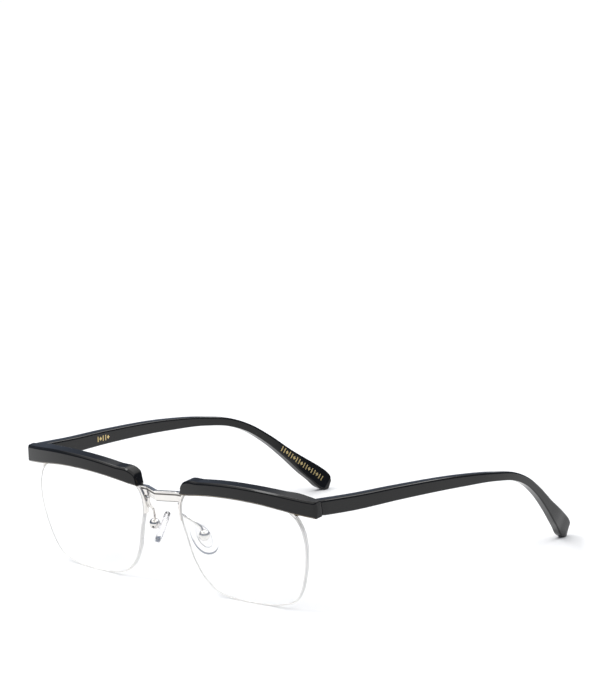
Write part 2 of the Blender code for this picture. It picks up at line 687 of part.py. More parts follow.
def make_hinge(side, temple):
    """A three knuckle hinge: the middle one turns with the temple."""
    axis = hinge_axis(side)
    upright = Matrix.Translation(axis) @ Matrix.Diagonal((side, 1, 1, 1))
    half, web = KNUCKLE_HEIGHT / 2, KNUCKLE_RADIUS * WEB_SHARE
    outer = half + KNUCKLE_GAP + KNUCKLE_HEIGHT
    bore = cylinder(label("hinge_bore", side), upright, PIN_RADIUS + PIN_PLAY, -2 * outer, 2 * outer)

    inner = HINGE_INSET - PLATE_THICKNESS / 2
    plate_low = (inner, -HINGE_BACK / 2, -PLATE_HEIGHT / 2)
    plate_high = (inner + PLATE_THICKNESS, TEMPLE_PLATE_LENGTH, PLATE_HEIGHT / 2)
    bm = bmesh.new()
    add_cylinder(bm, upright, KNUCKLE_RADIUS, -half, half)
    leaf = finish(label("hinge_temple_leaf", side), bm, METAL, axis)
    web_box = box(
        label("temple_web", side), upright, (0, -web, -half),
        (inner + PLATE_THICKNESS / 2, web, half),
    )
    plate = box(label("temple_plate", side), upright, plate_low, plate_high)
    boolean(leaf, web_box, "UNION")
    boolean(leaf, plate, "UNION")
    boolean(leaf, bore)
    bed = box(
        label("temple_plate_bed", side), upright,
        (-HINGE_INSET, plate_low[1] - FIT, plate_low[2] - FIT),
        [edge + FIT for edge in plate_high],
    )
    boolean(temple, bed)

    brow = parts.objects[label("brow_bar", side)]
    bm = bmesh.new()
    add_cylinder(bm, upright, KNUCKLE_RADIUS, -outer, outer)
    leaf = finish(label("hinge_front_leaf", side), bm, METAL)
    seat_depth = HINGE_BACK + PLATE_THICKNESS * 2
    web_box = box(
        label("front_web", side), upright, (-web, -seat_depth, -outer), (web / 2, 0, outer)
    )
    leaning = upright @ Matrix.Translation((0, -seat_depth, 0)) @ Matrix.Rotation(LEAN, 4, "X")
    tall = outer + FRONT_PLATE_MARGIN
    low = (KNUCKLE_RADIUS - FRONT_PLATE_LENGTH, -PLATE_THICKNESS, -tall)
    high = (web, TOUCH, tall)
    plate = box(label("front_plate", side), leaning, low, high)
    gap = box(
        label("knuckle_gap", side), upright,
        (-3 * KNUCKLE_RADIUS, -KNUCKLE_RADIUS - FIT, -half - KNUCKLE_GAP),
        (3 * KNUCKLE_RADIUS, 3 * KNUCKLE_RADIUS, half + KNUCKLE_GAP),
    )
    boolean(leaf, web_box, "UNION")
    boolean(leaf, plate, "UNION")
    boolean(leaf, gap)
    boolean(leaf, bore)
    bed = box(
        label("front_plate_bed", side), leaning, [edge - FIT for edge in low],
        (high[0] + FIT, 4 * HINGE_BACK, high[2] + FIT),
    )
    boolean(brow, bed)

    top = upright @ Matrix.Translation((0, 0, outer + TOUCH))
    screw(
        label("hinge_screw", side), top, PIN_RADIUS, 2 * outer, HINGE_HEAD_RADIUS,
        SCREW_HEAD_HEIGHT, PIN_METAL,
    )


def centre_on_floor():
    """Moves everything so that the glasses stand over the middle of the floor."""
    bpy.context.view_layer.update()
    back = [(o.matrix_world @ v.co).y for o in parts.objects for v in o.data.vertices]
    shift = -(min(back) + max(back)) / 2
    for made in list(parts.objects) + list(cutters.objects):
        made.location.y += shift


SEAM_DEPTH = surface_depth(HALF_WIDTH, LENS_HEIGHT) + BROW_END_BACK
END_HEIGHT = LENS_HEIGHT + (BROW_BOTTOM[-1][1] + BROW_TOP[-1][1]) / 2
METAL = material("polished_metal", (0.78, 0.76, 0.73), 1.0, 0.15)
PIN_METAL = material("screw_steel", (0.6, 0.6, 0.6), 1.0, 0.25)
ACETATE = material("black_acetate", (0.012, 0.011, 0.01), 0.0, 0.15)
LENS = material("clear_lens", (0.95, 0.97, 0.97), 0.0, 0.02, 1.0)
NYLON = material("nylon", (0.85, 0.86, 0.86), 0.0, 0.35)
SILICONE = material("clear_silicone", (0.9, 0.9, 0.88), 0.0, 0.2, 0.8)
INSERT = material("clear_insert", (0.8, 0.8, 0.78), 0.0, 0.15, 0.6)

clear_scene()
for side in (1, -1):
    make_lens(side)
    make_rim(side)
    make_cord(side)
    make_brow(side)
    make_lugs(side)
    make_pad(side)
    make_hinge(side, make_temple(side))
make_bridge()
centre_on_floor()
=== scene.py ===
# %% [markdown]
# # Half rim eyeglasses
# Two clear lenses hang under black acetate brow bars. A thin metal rim holds each lens above, and
# a nylon cord in the lens edge holds it below. This notebook dresses the working model: the model
# gives every place and every moving body, and each cell here makes one finer piece of the same
# size, or the finish that it wears.

# %% The working model
import math

import bmesh
import bpy
import numpy as np
from mathutils import Matrix, Vector


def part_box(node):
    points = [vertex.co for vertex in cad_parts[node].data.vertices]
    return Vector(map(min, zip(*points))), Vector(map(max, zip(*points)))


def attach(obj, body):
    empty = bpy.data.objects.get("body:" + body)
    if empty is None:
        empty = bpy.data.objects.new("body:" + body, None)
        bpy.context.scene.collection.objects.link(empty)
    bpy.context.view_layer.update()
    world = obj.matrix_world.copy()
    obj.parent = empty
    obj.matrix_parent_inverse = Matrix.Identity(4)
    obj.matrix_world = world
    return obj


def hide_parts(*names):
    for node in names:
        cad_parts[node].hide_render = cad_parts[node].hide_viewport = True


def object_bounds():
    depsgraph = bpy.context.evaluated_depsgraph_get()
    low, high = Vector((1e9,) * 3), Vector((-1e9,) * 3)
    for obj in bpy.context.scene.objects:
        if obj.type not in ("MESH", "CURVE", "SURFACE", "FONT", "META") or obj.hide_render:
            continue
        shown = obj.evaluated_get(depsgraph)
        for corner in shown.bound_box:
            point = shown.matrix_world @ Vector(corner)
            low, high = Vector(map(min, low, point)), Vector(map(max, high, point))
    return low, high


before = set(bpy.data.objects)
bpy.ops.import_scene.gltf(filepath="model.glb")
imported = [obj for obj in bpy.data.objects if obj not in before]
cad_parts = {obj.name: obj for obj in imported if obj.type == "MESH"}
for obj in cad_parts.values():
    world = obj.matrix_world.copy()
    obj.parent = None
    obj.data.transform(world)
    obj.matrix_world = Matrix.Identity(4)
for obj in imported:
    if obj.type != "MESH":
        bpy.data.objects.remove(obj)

MM = 0.001
HANDS = {"left": 1, "right": -1}
CAD_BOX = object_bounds()
print("working model", [round(x * 1000, 1) for x in CAD_BOX[1] - CAD_BOX[0]], "mm")

# %% [markdown]
# ## Curves, sections and surfaces
# Nearly every piece is a profile carried along a line. A few array functions do all of it: a
# smooth curve through chosen points, a section whose corners are turned into arcs, and a grid of
# points that becomes a mesh. Extra points beside each arc keep the flats between them truly flat
# in the reflections, which shows at once on polished acetate.

# %% Curves and sections
def curve_through(points, steps, closed=False):
    """A cubic through every point. Its slope there is the mean of both chords, the nearer one
    heavier."""
    points = np.array(points, float)
    if closed:
        points = np.vstack([points[-1:], points, points[:2]])
    else:
        points = np.vstack([2 * points[:1] - points[1:2], points, 2 * points[-1:] - points[-2:-1]])
    gaps = np.linalg.norm(np.diff(points, axis=0), axis=1)[:, None]
    chords = np.diff(points, axis=0) / gaps
    slopes = (chords[:-1] * gaps[1:] + chords[1:] * gaps[:-1]) / (gaps[:-1] + gaps[1:])
    t = np.linspace(0, 1, steps, endpoint=False)[:, None]
    start, stop = points[1:-2, None], points[2:-1, None]
    leave, arrive = slopes[:-1, None] * gaps[1:-1, None], slopes[1:, None] * gaps[1:-1, None]
    curve = (
        (2 * t**3 - 3 * t**2 + 1) * start + (t**3 - 2 * t**2 + t) * leave
        + (3 * t**2 - 2 * t**3) * stop + (t**3 - t**2) * arrive
    ).reshape(-1, points.shape[1])
    return curve if closed else np.vstack([curve, points[-2:-1]])


def at(curve, place):
    """The curve at a place counted in points, straight between one point and the next."""
    place = np.clip(place, 0, len(curve) - 1)
    low = np.minimum(place.astype(int), len(curve) - 2)
    share = (place - low)[:, None]
    return curve[low] * (1 - share) + curve[low + 1] * share


def unit(vectors):
    return vectors / np.linalg.norm(vectors, axis=-1, keepdims=True)


def rounded(corners, radii, steps=5):
    """Each corner becomes a parabola from `radius` before it to `radius` after it, with one more
    point on the flat at both ends. Corners are (..., corner, 2), radii (..., corner)."""
    corners = np.asarray(corners, float)
    radii = np.broadcast_to(radii, corners.shape[:-1])[..., None]
    before = unit(np.roll(corners, 1, axis=-2) - corners) * radii
    after = unit(np.roll(corners, -1, axis=-2) - corners) * radii
    t = np.linspace(0, 1, steps)[:, None]
    arc = (
        (1 - t) ** 2 * (corners + before)[..., None, :] + 2 * t * (1 - t) * corners[..., None, :]
        + t**2 * (corners + after)[..., None, :]
    )
    lead, trail = (corners + before * 1.15)[..., None, :], (corners + after * 1.15)[..., None, :]
    section = np.concatenate([lead, arc, trail], axis=-2)
    return section.reshape(*corners.shape[:-2], -1, 2)


def circle(across, over, count):
    """Unit circles: cosine along the first normal plus sine along the second."""
    turn = np.linspace(0, 2 * math.pi, count, endpoint=False)[:, None]
    return np.cos(turn) * across + np.sin(turn) * over


def tube(path, radius, sides, side_on):
    """Circles of the radius round a path, domed at both ends. The first normal is square to the
    path and to the direction `side_on`."""
    ahead = unit(np.gradient(path, axis=0))
    across = unit(np.cross(ahead, side_on))
    over = np.cross(across, ahead)
    rings = circle(across[:, None], over[:, None], sides)
    radius = np.broadcast_to(radius, len(path))[:, None, None]
    body = path[:, None] + rings * radius
    dome = np.linspace(math.pi / 2, 0, 5)[:-1, None, None]
    nose = path[0] - ahead[0] * radius[0] * np.sin(dome) + rings[0] * radius[0] * np.cos(dome)
    tail = path[-1] + ahead[-1] * radius[-1] * np.sin(dome) + rings[-1] * radius[-1] * np.cos(dome)
    return np.concatenate([nose, body, tail[::-1]])


def ball(centre, size, rows=17, columns=32, turn=np.eye(3)):
    """An ellipsoid: latitude down the rows and longitude round the columns."""
    lat = np.linspace(-math.pi / 2, math.pi / 2, rows)[:, None]
    lon = np.linspace(0, 2 * math.pi, columns, endpoint=False)[None]
    unit_ball = np.stack([
        np.cos(lat) * np.cos(lon), np.cos(lat) * np.sin(lon), np.sin(lat) + 0 * lon,
    ], axis=-1)
    return np.asarray(centre) + unit_ball * size @ turn.T


def capped(grid):
    """The grid with the middle of its first and last row added, which closes both ends."""
    first = np.broadcast_to(grid[:1].mean(axis=1, keepdims=True), grid[:1].shape)
    last = np.broadcast_to(grid[-1:].mean(axis=1, keepdims=True), grid[-1:].shape)
    return np.concatenate([first, grid, last])


# %% From grids to pieces
def close_up(mesh, merge=2e-7):
    """Joins the points that meet at seams and poles, and turns every face outwards."""
    bm = bmesh.new()
    bm.from_mesh(mesh)
    bmesh.ops.remove_doubles(bm, verts=bm.verts, dist=merge)
    bmesh.ops.recalc_face_normals(bm, faces=bm.faces)
    bm.to_mesh(mesh)
    bm.free()


def into_scene(name, data):
    """An object of this mesh, light or camera, in the scene."""
    made = bpy.data.objects.new(name, data)
    bpy.context.scene.collection.objects.link(made)
    return made


def settle(mesh, name, looks, body, nodes, sharp=30.0):
    """Makes a piece of the mesh: its looks, its body and the nodes that it stands for."""
    mesh.shade_smooth()
    mesh.set_sharp_from_angle(angle=math.radians(sharp))
    for each in looks:
        mesh.materials.append(each)
    made = into_scene(name, mesh)
    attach(made, body)
    if nodes:
        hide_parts(*nodes)
    print(f"{name}: {len(mesh.polygons)} faces on {body}")
    return made


def cells(rows, columns):
    """The four corners of each cell: point (row, column) is number row * columns + column, and
    the last column joins the first."""
    row, column = np.meshgrid(np.arange(rows - 1), np.arange(columns), indexing="ij")
    here, beside = row * columns + column, row * columns + (column + 1) % columns
    return np.stack([here, beside, beside + columns, here + columns], axis=-1).reshape(-1, 4)


def grid_mesh(name, grids, bands=None):
    """One mesh of several grids in millimetres. A band is the number of the look of each cell, as
    an array that spreads over the cells' rows and columns."""
    counts = np.cumsum([0] + [grid.shape[0] * grid.shape[1] for grid in grids])
    faces = [cells(*grid.shape[:2]) + first for grid, first in zip(grids, counts)]
    bands = bands or [0] * len(grids)
    marks = [
        np.broadcast_to(band, (len(grid) - 1, grid.shape[1])).ravel()
        for grid, band in zip(grids, bands)
    ]
    points = np.concatenate([grid.reshape(-1, 3) for grid in grids]) * MM
    mesh = bpy.data.meshes.new(name)
    mesh.from_pydata(points.tolist(), [], np.concatenate(faces).tolist())
    mesh.polygons.foreach_set("material_index", np.concatenate(marks).astype(np.int32))
    return mesh


def closed_mesh(name, grids, bands=None):
    """The grids as one mesh with its seams and poles joined."""
    mesh = grid_mesh(name, grids, bands)
    close_up(mesh)
    return mesh


def piece(name, grids, looks, body, nodes, bands=None, sharp=30.0):
    """A piece from closed grids of points in millimetres."""
    return settle(closed_mesh(name, grids, bands), name, looks, body, nodes, sharp)


# %% [markdown]
# ## Where the front lies
# The lens outline is drawn flat, about the middle of a box of the lens size, and then laid on the
# front: the lenses are slices of a gentle bowl, they swing back round the face, and the whole
# front leans forward at the top by the angle that the temples give it. The last two shifts are
# measured on the working model, so that everything lands exactly on it.

# %% The lens outline and the curved front
LENS_WIDTH, LENS_HEIGHT, LENS_GAP, LENS_THICKNESS = 53.8, 36.9, 17.6, 2.0
GROOVE_WIDTH, GROOVE_DEPTH, FIT = 0.6, 0.5, 0.1
RIM_OUTLINE = (
    (-0.495, 0.177), (-0.499, 0.272), (-0.486, 0.356), (-0.447, 0.435), (-0.356, 0.486),
    (-0.161, 0.5), (0.081, 0.5), (0.276, 0.486), (0.375, 0.454), (0.442, 0.384),
)
CORD_OUTLINE = (
    (0.481, 0.283), (0.499, 0.137), (0.488, -0.026), (0.456, -0.202), (0.414, -0.34),
    (0.352, -0.438), (0.248, -0.482), (0.044, -0.5), (-0.133, -0.488), (-0.263, -0.446),
    (-0.343, -0.359), (-0.417, -0.196), (-0.467, 0.042),
)
SAG, WRAP, LEAN = 0.0034, 0.066, math.radians(8.4)
LENS_NASAL = LENS_GAP / 2
LENS_MIDDLE = LENS_NASAL + LENS_WIDTH / 2
STEPS = 12


def bowl(x, height):
    """Depth of the lens surface: sag times the squared distance from the lens middle, plus wrap
    times the distance from the nose."""
    off_middle = (np.abs(x) - LENS_MIDDLE) ** 2 + (height - LENS_HEIGHT / 2) ** 2
    return SAG * off_middle + WRAP * np.abs(x)


def lean(x, depth, height):
    """The upright front turned about the floor line by the lean."""
    x, depth, height = np.broadcast_arrays(x, depth, height)
    back = depth * math.cos(LEAN) - height * math.sin(LEAN)
    up = height * math.cos(LEAN) + depth * math.sin(LEAN)
    return np.stack([x, back, up], axis=-1) + SHIFT


def on_front(x, height, depth):
    """A point a given depth behind the lens surface."""
    return lean(x, bowl(x, height) + depth, height)


SHIFT = np.zeros(3)
OUTLINE = curve_through(RIM_OUTLINE + CORD_OUTLINE, STEPS, closed=True)
OUTLINE = OUTLINE * (LENS_WIDTH, LENS_HEIGHT) + (LENS_MIDDLE, LENS_HEIGHT / 2)
ALONG = unit(np.roll(OUTLINE, -1, axis=0) - np.roll(OUTLINE, 1, axis=0))
OUTWARD = np.stack([-ALONG[:, 1], ALONG[:, 0]], axis=1)
RIM_LAST = (len(RIM_OUTLINE) - 1) * STEPS
front_face = on_front(*OUTLINE.T, -LENS_THICKNESS / 2)
SHIFT = np.array([0.0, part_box("lens_left")[0].y / MM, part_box("lens_left")[0].z / MM])
SHIFT[1:] -= front_face[:, 1:].min(axis=0)
print("the front is shifted by", SHIFT.round(2))


def along_edge(first, last, section):
    """Rings of a section of (outward, depth) points along the lens edge, from point to point."""
    number = np.arange(first, last + 1) % len(OUTLINE)
    section = np.asarray(section, float)
    flat = OUTLINE[number, None] + OUTWARD[number, None] * section[:, :1]
    return on_front(flat[..., 0], flat[..., 1], section[:, 1])


# %% [markdown]
# ## Handling marks
# Nothing that is worn on a face stays perfect: every finish here has faint hairlines and a soft
# unevenness. Both come from stretched noise on the object's own coordinates, so they keep their
# size on every piece. They are one node group, placed in each finish with its own values.

# %% The handling marks group
def set_sockets(made, **values):
    """Sets input sockets by name, with an underline for each space."""
    for name, value in values.items():
        made.inputs[name.replace("_", " ")].default_value = value


def node(tree, kind, **values):
    """A shader node with some of its sockets set."""
    made = tree.nodes.new(kind)
    set_sockets(made, **values)
    return made


def colour_mix(tree, **ends):
    """A mix that runs from colour A to colour B with its factor."""
    made = tree.nodes.new("ShaderNodeMix")
    made.data_type = "RGBA"
    set_sockets(made, **{name: (*colour, 1) for name, colour in ends.items()})
    return made


def link(tree, source, output, target, socket):
    """Joins one node's output to another node's input."""
    tree.links.new(source.outputs[output], target.inputs[socket])


def marks_group():
    """Hairlines: the narrow crest of a stretched noise. Cloud: a slow noise over millimetres."""
    tree = bpy.data.node_groups.new("handling_marks", "ShaderNodeTree")
    face = tree.interface
    size = face.new_socket("Scale", in_out="INPUT", socket_type="NodeSocketFloat")
    size.default_value = 400.0
    face.new_socket("Hairlines", in_out="OUTPUT", socket_type="NodeSocketFloat")
    face.new_socket("Cloud", in_out="OUTPUT", socket_type="NodeSocketFloat")
    enter, leave = tree.nodes.new("NodeGroupInput"), tree.nodes.new("NodeGroupOutput")
    place = tree.nodes.new("ShaderNodeTexCoord")
    turned = node(tree, "ShaderNodeMapping", Rotation=(0.4, 0.7, 0.3), Scale=(1.0, 0.08, 0.6))
    lines = node(tree, "ShaderNodeTexNoise", Detail=3.0, Roughness=0.6)
    crest = node(tree, "ShaderNodeMapRange", From_Min=0.58, From_Max=0.7)
    cloud = node(tree, "ShaderNodeTexNoise", Scale=160.0, Detail=2.0)
    link(tree, place, "Object", turned, "Vector")
    link(tree, turned, "Vector", lines, "Vector")
    link(tree, enter, "Scale", lines, "Scale")
    link(tree, lines, "Fac", crest, "Value")
    link(tree, place, "Object", cloud, "Vector")
    link(tree, crest, "Result", leave, "Hairlines")
    link(tree, cloud, "Fac", leave, "Cloud")
    return tree


MARKS = marks_group()


def finish(name, colour, rough, scale=400.0, bump=0.02, shade=0.9, **sockets):
    """A Principled finish with handling marks: roughness runs between the two values of `rough`,
    the colour between itself and `shade` times itself, and the hairlines are very shallow."""
    made = bpy.data.materials.new(name)
    made.use_nodes = True
    tree = made.node_tree
    shader = tree.nodes["Principled BSDF"]
    set_sockets(shader, **sockets)
    marks = tree.nodes.new("ShaderNodeGroup")
    marks.node_tree = MARKS
    marks.inputs["Scale"].default_value = scale
    rub = node(tree, "ShaderNodeMapRange", To_Min=rough[0], To_Max=rough[1])
    tint = colour_mix(tree, A=[shade * c for c in colour], B=colour)
    relief = node(tree, "ShaderNodeBump", Strength=bump, Distance=0.00005)
    sum_up = tree.nodes.new("ShaderNodeMath")
    sum_up.operation = "MAXIMUM"
    link(tree, marks, "Hairlines", sum_up, 0)
    link(tree, marks, "Cloud", sum_up, 1)
    link(tree, sum_up, 0, rub, "Value")
    link(tree, marks, "Cloud", tint, "Factor")
    link(tree, marks, "Hairlines", relief, "Height")
    link(tree, rub, "Result", shader, "Roughness")
    link(tree, tint, "Result", shader, "Base Color")
    link(tree, relief, "Normal", shader, "Normal")
    made.diffuse_color = (*colour, 1)
    return made


def lets_light_through(made, share=0.945):
    """Clear pieces cast only a faint shadow: shadow rays pass a transparent shader instead, which
    keeps a share of the light."""
    tree = made.node_tree
    shader, out = tree.nodes["Principled BSDF"], tree.nodes["Material Output"]
    path = tree.nodes.new("ShaderNodeLightPath")
    clear = node(tree, "ShaderNodeBsdfTransparent", Color=(share, share, share, 1))
    either = tree.nodes.new("ShaderNodeMixShader")
    link(tree, path, "Is Shadow Ray", either, "Fac")
    link(tree, shader, "BSDF", either, 1)
    link(tree, clear, "BSDF", either, 2)
    link(tree, either, "Shader", out, "Surface")
    return made


# %% [markdown]
# ## Metal, nylon, glass and silicone
# The rims, bridge, pad arms and pad boxes are polished nickel silver, a little warmer than steel.
# Screws and hinges are turned and milled, so they are duller. The lenses are clear with a ground
# edge, the cord is milky nylon, and the pads are clear silicone on a hard clear insert.

# %% The finishes
METAL = finish("polished_metal", (0.80, 0.775, 0.745), (0.07, 0.2), 500.0, 0.05, 0.93, Metallic=1.0)
HINGE_METAL = finish(
    "hinge_metal", (0.66, 0.65, 0.63), (0.2, 0.36), 900.0, 0.15, 0.85, Metallic=1.0
)
SCREW_METAL = finish(
    "screw_steel", (0.62, 0.62, 0.62), (0.14, 0.3), 1200.0, 0.1, 0.85, Metallic=1.0
)
SOLDER = finish("solder", (0.7, 0.68, 0.65), (0.16, 0.34), 700.0, 0.2, 0.8, Metallic=1.0)
GLASS = lets_light_through(finish(
    "clear_lens", (0.985, 0.99, 0.99), (0.0, 0.015), 300.0, 0.0, 0.998,
    Transmission_Weight=1.0, IOR=1.5,
))
# The small emission is a painted glow that lightens the ground edge; it stands in for light caught
# inside the lens that leaves at its edge.
GROUND_EDGE = lets_light_through(finish(
    "ground_lens_edge", (0.95, 0.935, 0.91), (0.3, 0.5), 900.0, 0.25, 0.96,
    Transmission_Weight=0.35, IOR=1.5, Emission_Color=(1.0, 0.98, 0.95, 1), Emission_Strength=0.09,
), 0.25)
NYLON = lets_light_through(finish(
    "nylon", (0.88, 0.885, 0.88), (0.22, 0.4), 600.0, 0.05, 0.92, Transmission_Weight=0.35, IOR=1.53
))
SILICONE = lets_light_through(finish(
    "clear_silicone", (0.985, 0.975, 0.98), (0.05, 0.16), 350.0, 0.06, 0.985,
    Transmission_Weight=0.98, IOR=1.4,
))
INSERT = lets_light_through(finish(
    "pad_insert", (0.985, 0.98, 0.98), (0.03, 0.1), 500.0, 0.04, 0.985,
    Transmission_Weight=0.97, IOR=1.42,
))
# Painted shade: a dark metal for the bridge's groove and lower bevel, where shade falls.
PAINTED_SHADE_METAL = finish("painted_shade_metal", (0.3, 0.285, 0.27), (0.25, 0.4), 700.0, 0.1, 0.8, Metallic=1.0)
GOLD_FOIL = finish("gold_foil", (0.72, 0.56, 0.26), (0.22, 0.42), 900.0, 0.2, 0.8, Metallic=1.0)

# %% [markdown]
# ## Black acetate
# Cellulose acetate is cut from sheet, tumbled and hand polished. It looks black, with a thin warm
# line along its lower edges. That line is a painted reflection from below: a point attribute that
# each acetate piece sets by how far its normals point down, which the finish mixes into the
# colour. A solid black would lose that line.

# %% The acetate finish
# The attribute that carries the painted warm reflection on faces that point down.
PAINTED_REFLECTION_ATTRIBUTE = "painted_warm_reflection"


def acetate_finish():
    made = finish(
        "black_acetate", (0.0045, 0.0043, 0.0042), (0.05, 0.13), 260.0, 0.03, 0.7,
        IOR=1.48, Specular_IOR_Level=0.34,
    )
    tree = made.node_tree
    shader = tree.nodes["Principled BSDF"]
    black = shader.inputs["Base Color"].links[0].from_socket
    # A warm brown is mixed in on faces that point down: a painted reflection from below.
    edge = tree.nodes.new("ShaderNodeAttribute")
    edge.attribute_name = PAINTED_REFLECTION_ATTRIBUTE
    warm = colour_mix(tree, B=(0.15, 0.115, 0.06))
    link(tree, edge, "Fac", warm, "Factor")
    tree.links.new(black, warm.inputs["A"])
    link(tree, warm, "Result", shader, "Base Color")
    return made


ACETATE = acetate_finish()


def paint_lower_reflection(made, axis, low, high):
    """Sets the painted warm reflection by how far a point's normal points down: none at `low`, all
    at `high`.
    """
    mesh = made.data
    normals = np.empty(len(mesh.vertices) * 3, np.float32)
    mesh.vertices.foreach_get("normal", normals)
    share = (normals.reshape(-1, 3) @ np.asarray(axis, np.float32) - low) / (high - low)
    edge = mesh.attributes.new(PAINTED_REFLECTION_ATTRIBUTE, "FLOAT", "POINT")
    edge.data.foreach_set("value", np.clip(share, 0, 1).astype(np.float32))


# %% [markdown]
# ## The lenses
# A lens is a slice of a bowl with a safety bevel on both edges and a groove round the rim for the
# cord. It could be an extruded outline, but then the surface would be flat. Here rings of the
# outline shrink to a point at the lens middle, in front and behind, and the edge rings between
# them turn the bevels and the groove. Glass and ground edge are two looks of one mesh.

# %% Lenses
LENS_BEVEL = 0.18
FACE_RINGS = 13


def make_lens(hand, side):
    """Row by row: share of the way from the middle to the edge, distance outward, and depth."""
    half, lip, bevel = LENS_THICKNESS / 2, GROOVE_WIDTH / 2, LENS_BEVEL
    shares = np.sin(np.linspace(0, math.pi / 2, FACE_RINGS))
    face = np.stack([shares, -bevel * shares, np.full(FACE_RINGS, -half)], axis=1)
    edge = np.array([
        (1, 0, -half + bevel), (1, 0, -lip - 0.04), (1, -0.04, -lip),
        (1, -GROOVE_DEPTH + 0.1, -lip), (1, -GROOVE_DEPTH, -lip + 0.12), (1, -GROOVE_DEPTH, 0.0),
    ])
    rows = np.concatenate([face, edge])
    rows = np.concatenate([rows, rows[-2::-1] * (1, 1, -1)])
    middle = np.array([LENS_MIDDLE, LENS_HEIGHT / 2])
    flat = middle + (OUTLINE - middle) * rows[:, None, :1] + OUTWARD * rows[:, None, 1:2]
    grid = on_front(flat[..., 0], flat[..., 1], rows[:, 2:]) * (side, 1, 1)
    band = np.ones(len(rows) - 1, int)
    band[: len(face) - 1] = band[1 - len(face):] = 0
    piece(
        f"clear_lens_{hand}", [grid], [GLASS, GROUND_EDGE], "front", [f"lens_{hand}"],
        [band[:, None]], 40.0,
    )


for hand, side in HANDS.items():
    make_lens(hand, side)

# %% [markdown]
# ## The rims and the cord
# Each rim is a drawn channel bent over the top of the lens and down its nasal side. The cord lies
# in the lens groove below and goes up into both rim ends. Both are sections carried along the lens
# edge. Curve objects would do it too, but a section tied to the edge keeps the channel square to
# the lens all the way.

# %% Rims, liners and cords
RIM_HEIGHT, RIM_DEPTH, RIM_GROOVE, LINER_WIDTH = 0.85, 1.8, 0.35, 0.5
CORD_RADIUS = 0.22
CORD_TUCK = 2 * STEPS // 3
LINER_MARGIN = 4


def make_rim(hand, side):
    """A channel with rounded back and crisp lips. Its end rings shrink a little, as filed ends."""
    inner, outer, half = FIT, FIT + RIM_HEIGHT, RIM_DEPTH / 2
    lip, floor = LINER_WIDTH / 2 + FIT / 2, FIT + RIM_GROOVE
    corners = [
        (outer, -half), (outer, half), (inner, half), (inner, lip),
        (floor, lip), (floor, -lip), (inner, -lip), (inner, -half),
    ]
    section = rounded(corners, [0.32, 0.32, 0.12, 0.05, 0.08, 0.08, 0.05, 0.12], 6)
    grid = along_edge(0, RIM_LAST, section) * (side, 1, 1)
    centre = section.mean(axis=0)
    filed = centre + (section - centre) * 0.86
    ends = along_edge(0, RIM_LAST, filed)[[0, -1]] * (side, 1, 1)
    push = 0.12 * unit(grid[[0, -1]] - grid[[1, -2]])
    grid = np.concatenate([ends[:1] + push[:1], grid, ends[1:] + push[1:]])
    piece(
        f"channel_rim_{hand}", [capped(grid)], [METAL], "front", [f"rim_{hand}"]
    )


def make_cord(hand, side):
    """The cord's middle runs just inside the lens edge. In the rim it rises into the channel."""
    number = np.arange(RIM_LAST - CORD_TUCK, len(OUTLINE) + CORD_TUCK + 1)
    inside = np.minimum(number - RIM_LAST, len(OUTLINE) - number)
    rise = np.clip(-inside / (STEPS / 2), 0, 1)
    outward = -CORD_RADIUS * 0.75 + (FIT / 2 + CORD_RADIUS * 0.75) * rise
    number = number % len(OUTLINE)
    flat = OUTLINE[number] + OUTWARD[number] * outward[:, None]
    path = on_front(flat[:, 0], flat[:, 1], 0.0) * (side, 1, 1)
    grid = tube(path, CORD_RADIUS, 12, (0, 1, 0))
    piece(f"lens_cord_{hand}", [grid], [NYLON], "front", [f"nylon_cord_{hand}"])


def make_liner(hand, side):
    """A rounded rectangle in the channel, which stops short of both ends of the cord."""
    low, high, half = FIT - GROOVE_DEPTH, FIT + RIM_GROOVE - FIT / 2, LINER_WIDTH / 2
    section = rounded([(low, -half), (low, half), (high, half), (high, -half)], 0.08, 4)
    first, last = CORD_TUCK + LINER_MARGIN, RIM_LAST - CORD_TUCK - LINER_MARGIN
    grid = along_edge(first, last, section) * (side, 1, 1)
    piece(f"channel_liner_{hand}", [capped(grid)], [NYLON], "front", [f"rim_liner_{hand}"])


for hand, side in HANDS.items():
    make_rim(hand, side)
    make_cord(hand, side)
    make_liner(hand, side)

# %% [markdown]
# ## The brow bars
# A brow bar is milled from a thick sheet: flat front, fine bevels that catch the light all round
# the front, a softly broken back edge, and a flat block at the outer end where the temple meets
# it. A box with a Bevel modifier could not follow the curved top and bottom lines, so the bar is a
# loft: a section of rounded corners between the lower and the upper line, with the front face
# falling back near both ends to carry the bevel round the corner.

# %% Brow bars
BROW_BOTTOM = (
    (0.02, -2.65), (0.04, -2.55), (0.08, -2.3), (0.19, -1.4), (0.32, -0.65), (0.45, -0.3),
    (0.59, -0.4), (0.73, -0.95), (0.85, -1.85), (0.95, -2.75), (1.0, -3.15), (1.092, -3.95),
)
BROW_TOP = (
    (0.036, 0.5), (0.05, 1.75), (0.08, 2.65), (0.2, 3.4), (0.32, 4.1), (0.45, 4.5),
    (0.59, 4.5), (0.73, 4.15), (0.85, 3.55), (0.95, 2.85), (1.0, 2.5), (1.092, 1.85),
)
BROW_FRONT, BROW_BACK, BROW_BEVEL, BROW_END_BACK = 2.15, 2.2, 0.62, 1.0
HALF_WIDTH, END_BLOCK = 68.2, 7.0
BROW_RADII = [0.14, 0.3, 0.14, 0.1, 0.1, 0.1, 0.1, 0.1]
END_ROUND, NOSE_TAPER, NOSE_REACH = 0.45, 0.9, 4.0
SEAM_DEPTH = float(bowl(HALF_WIDTH, LENS_HEIGHT)) + BROW_END_BACK


def brow_edge(shares):
    """One edge line: (share of the lens width from its nasal side, rise over the lens top)."""
    points = np.array(shares) * (LENS_WIDTH, 1) + (LENS_NASAL, LENS_HEIGHT)
    points[-1, 0] = HALF_WIDTH
    return curve_through(points, STEPS)


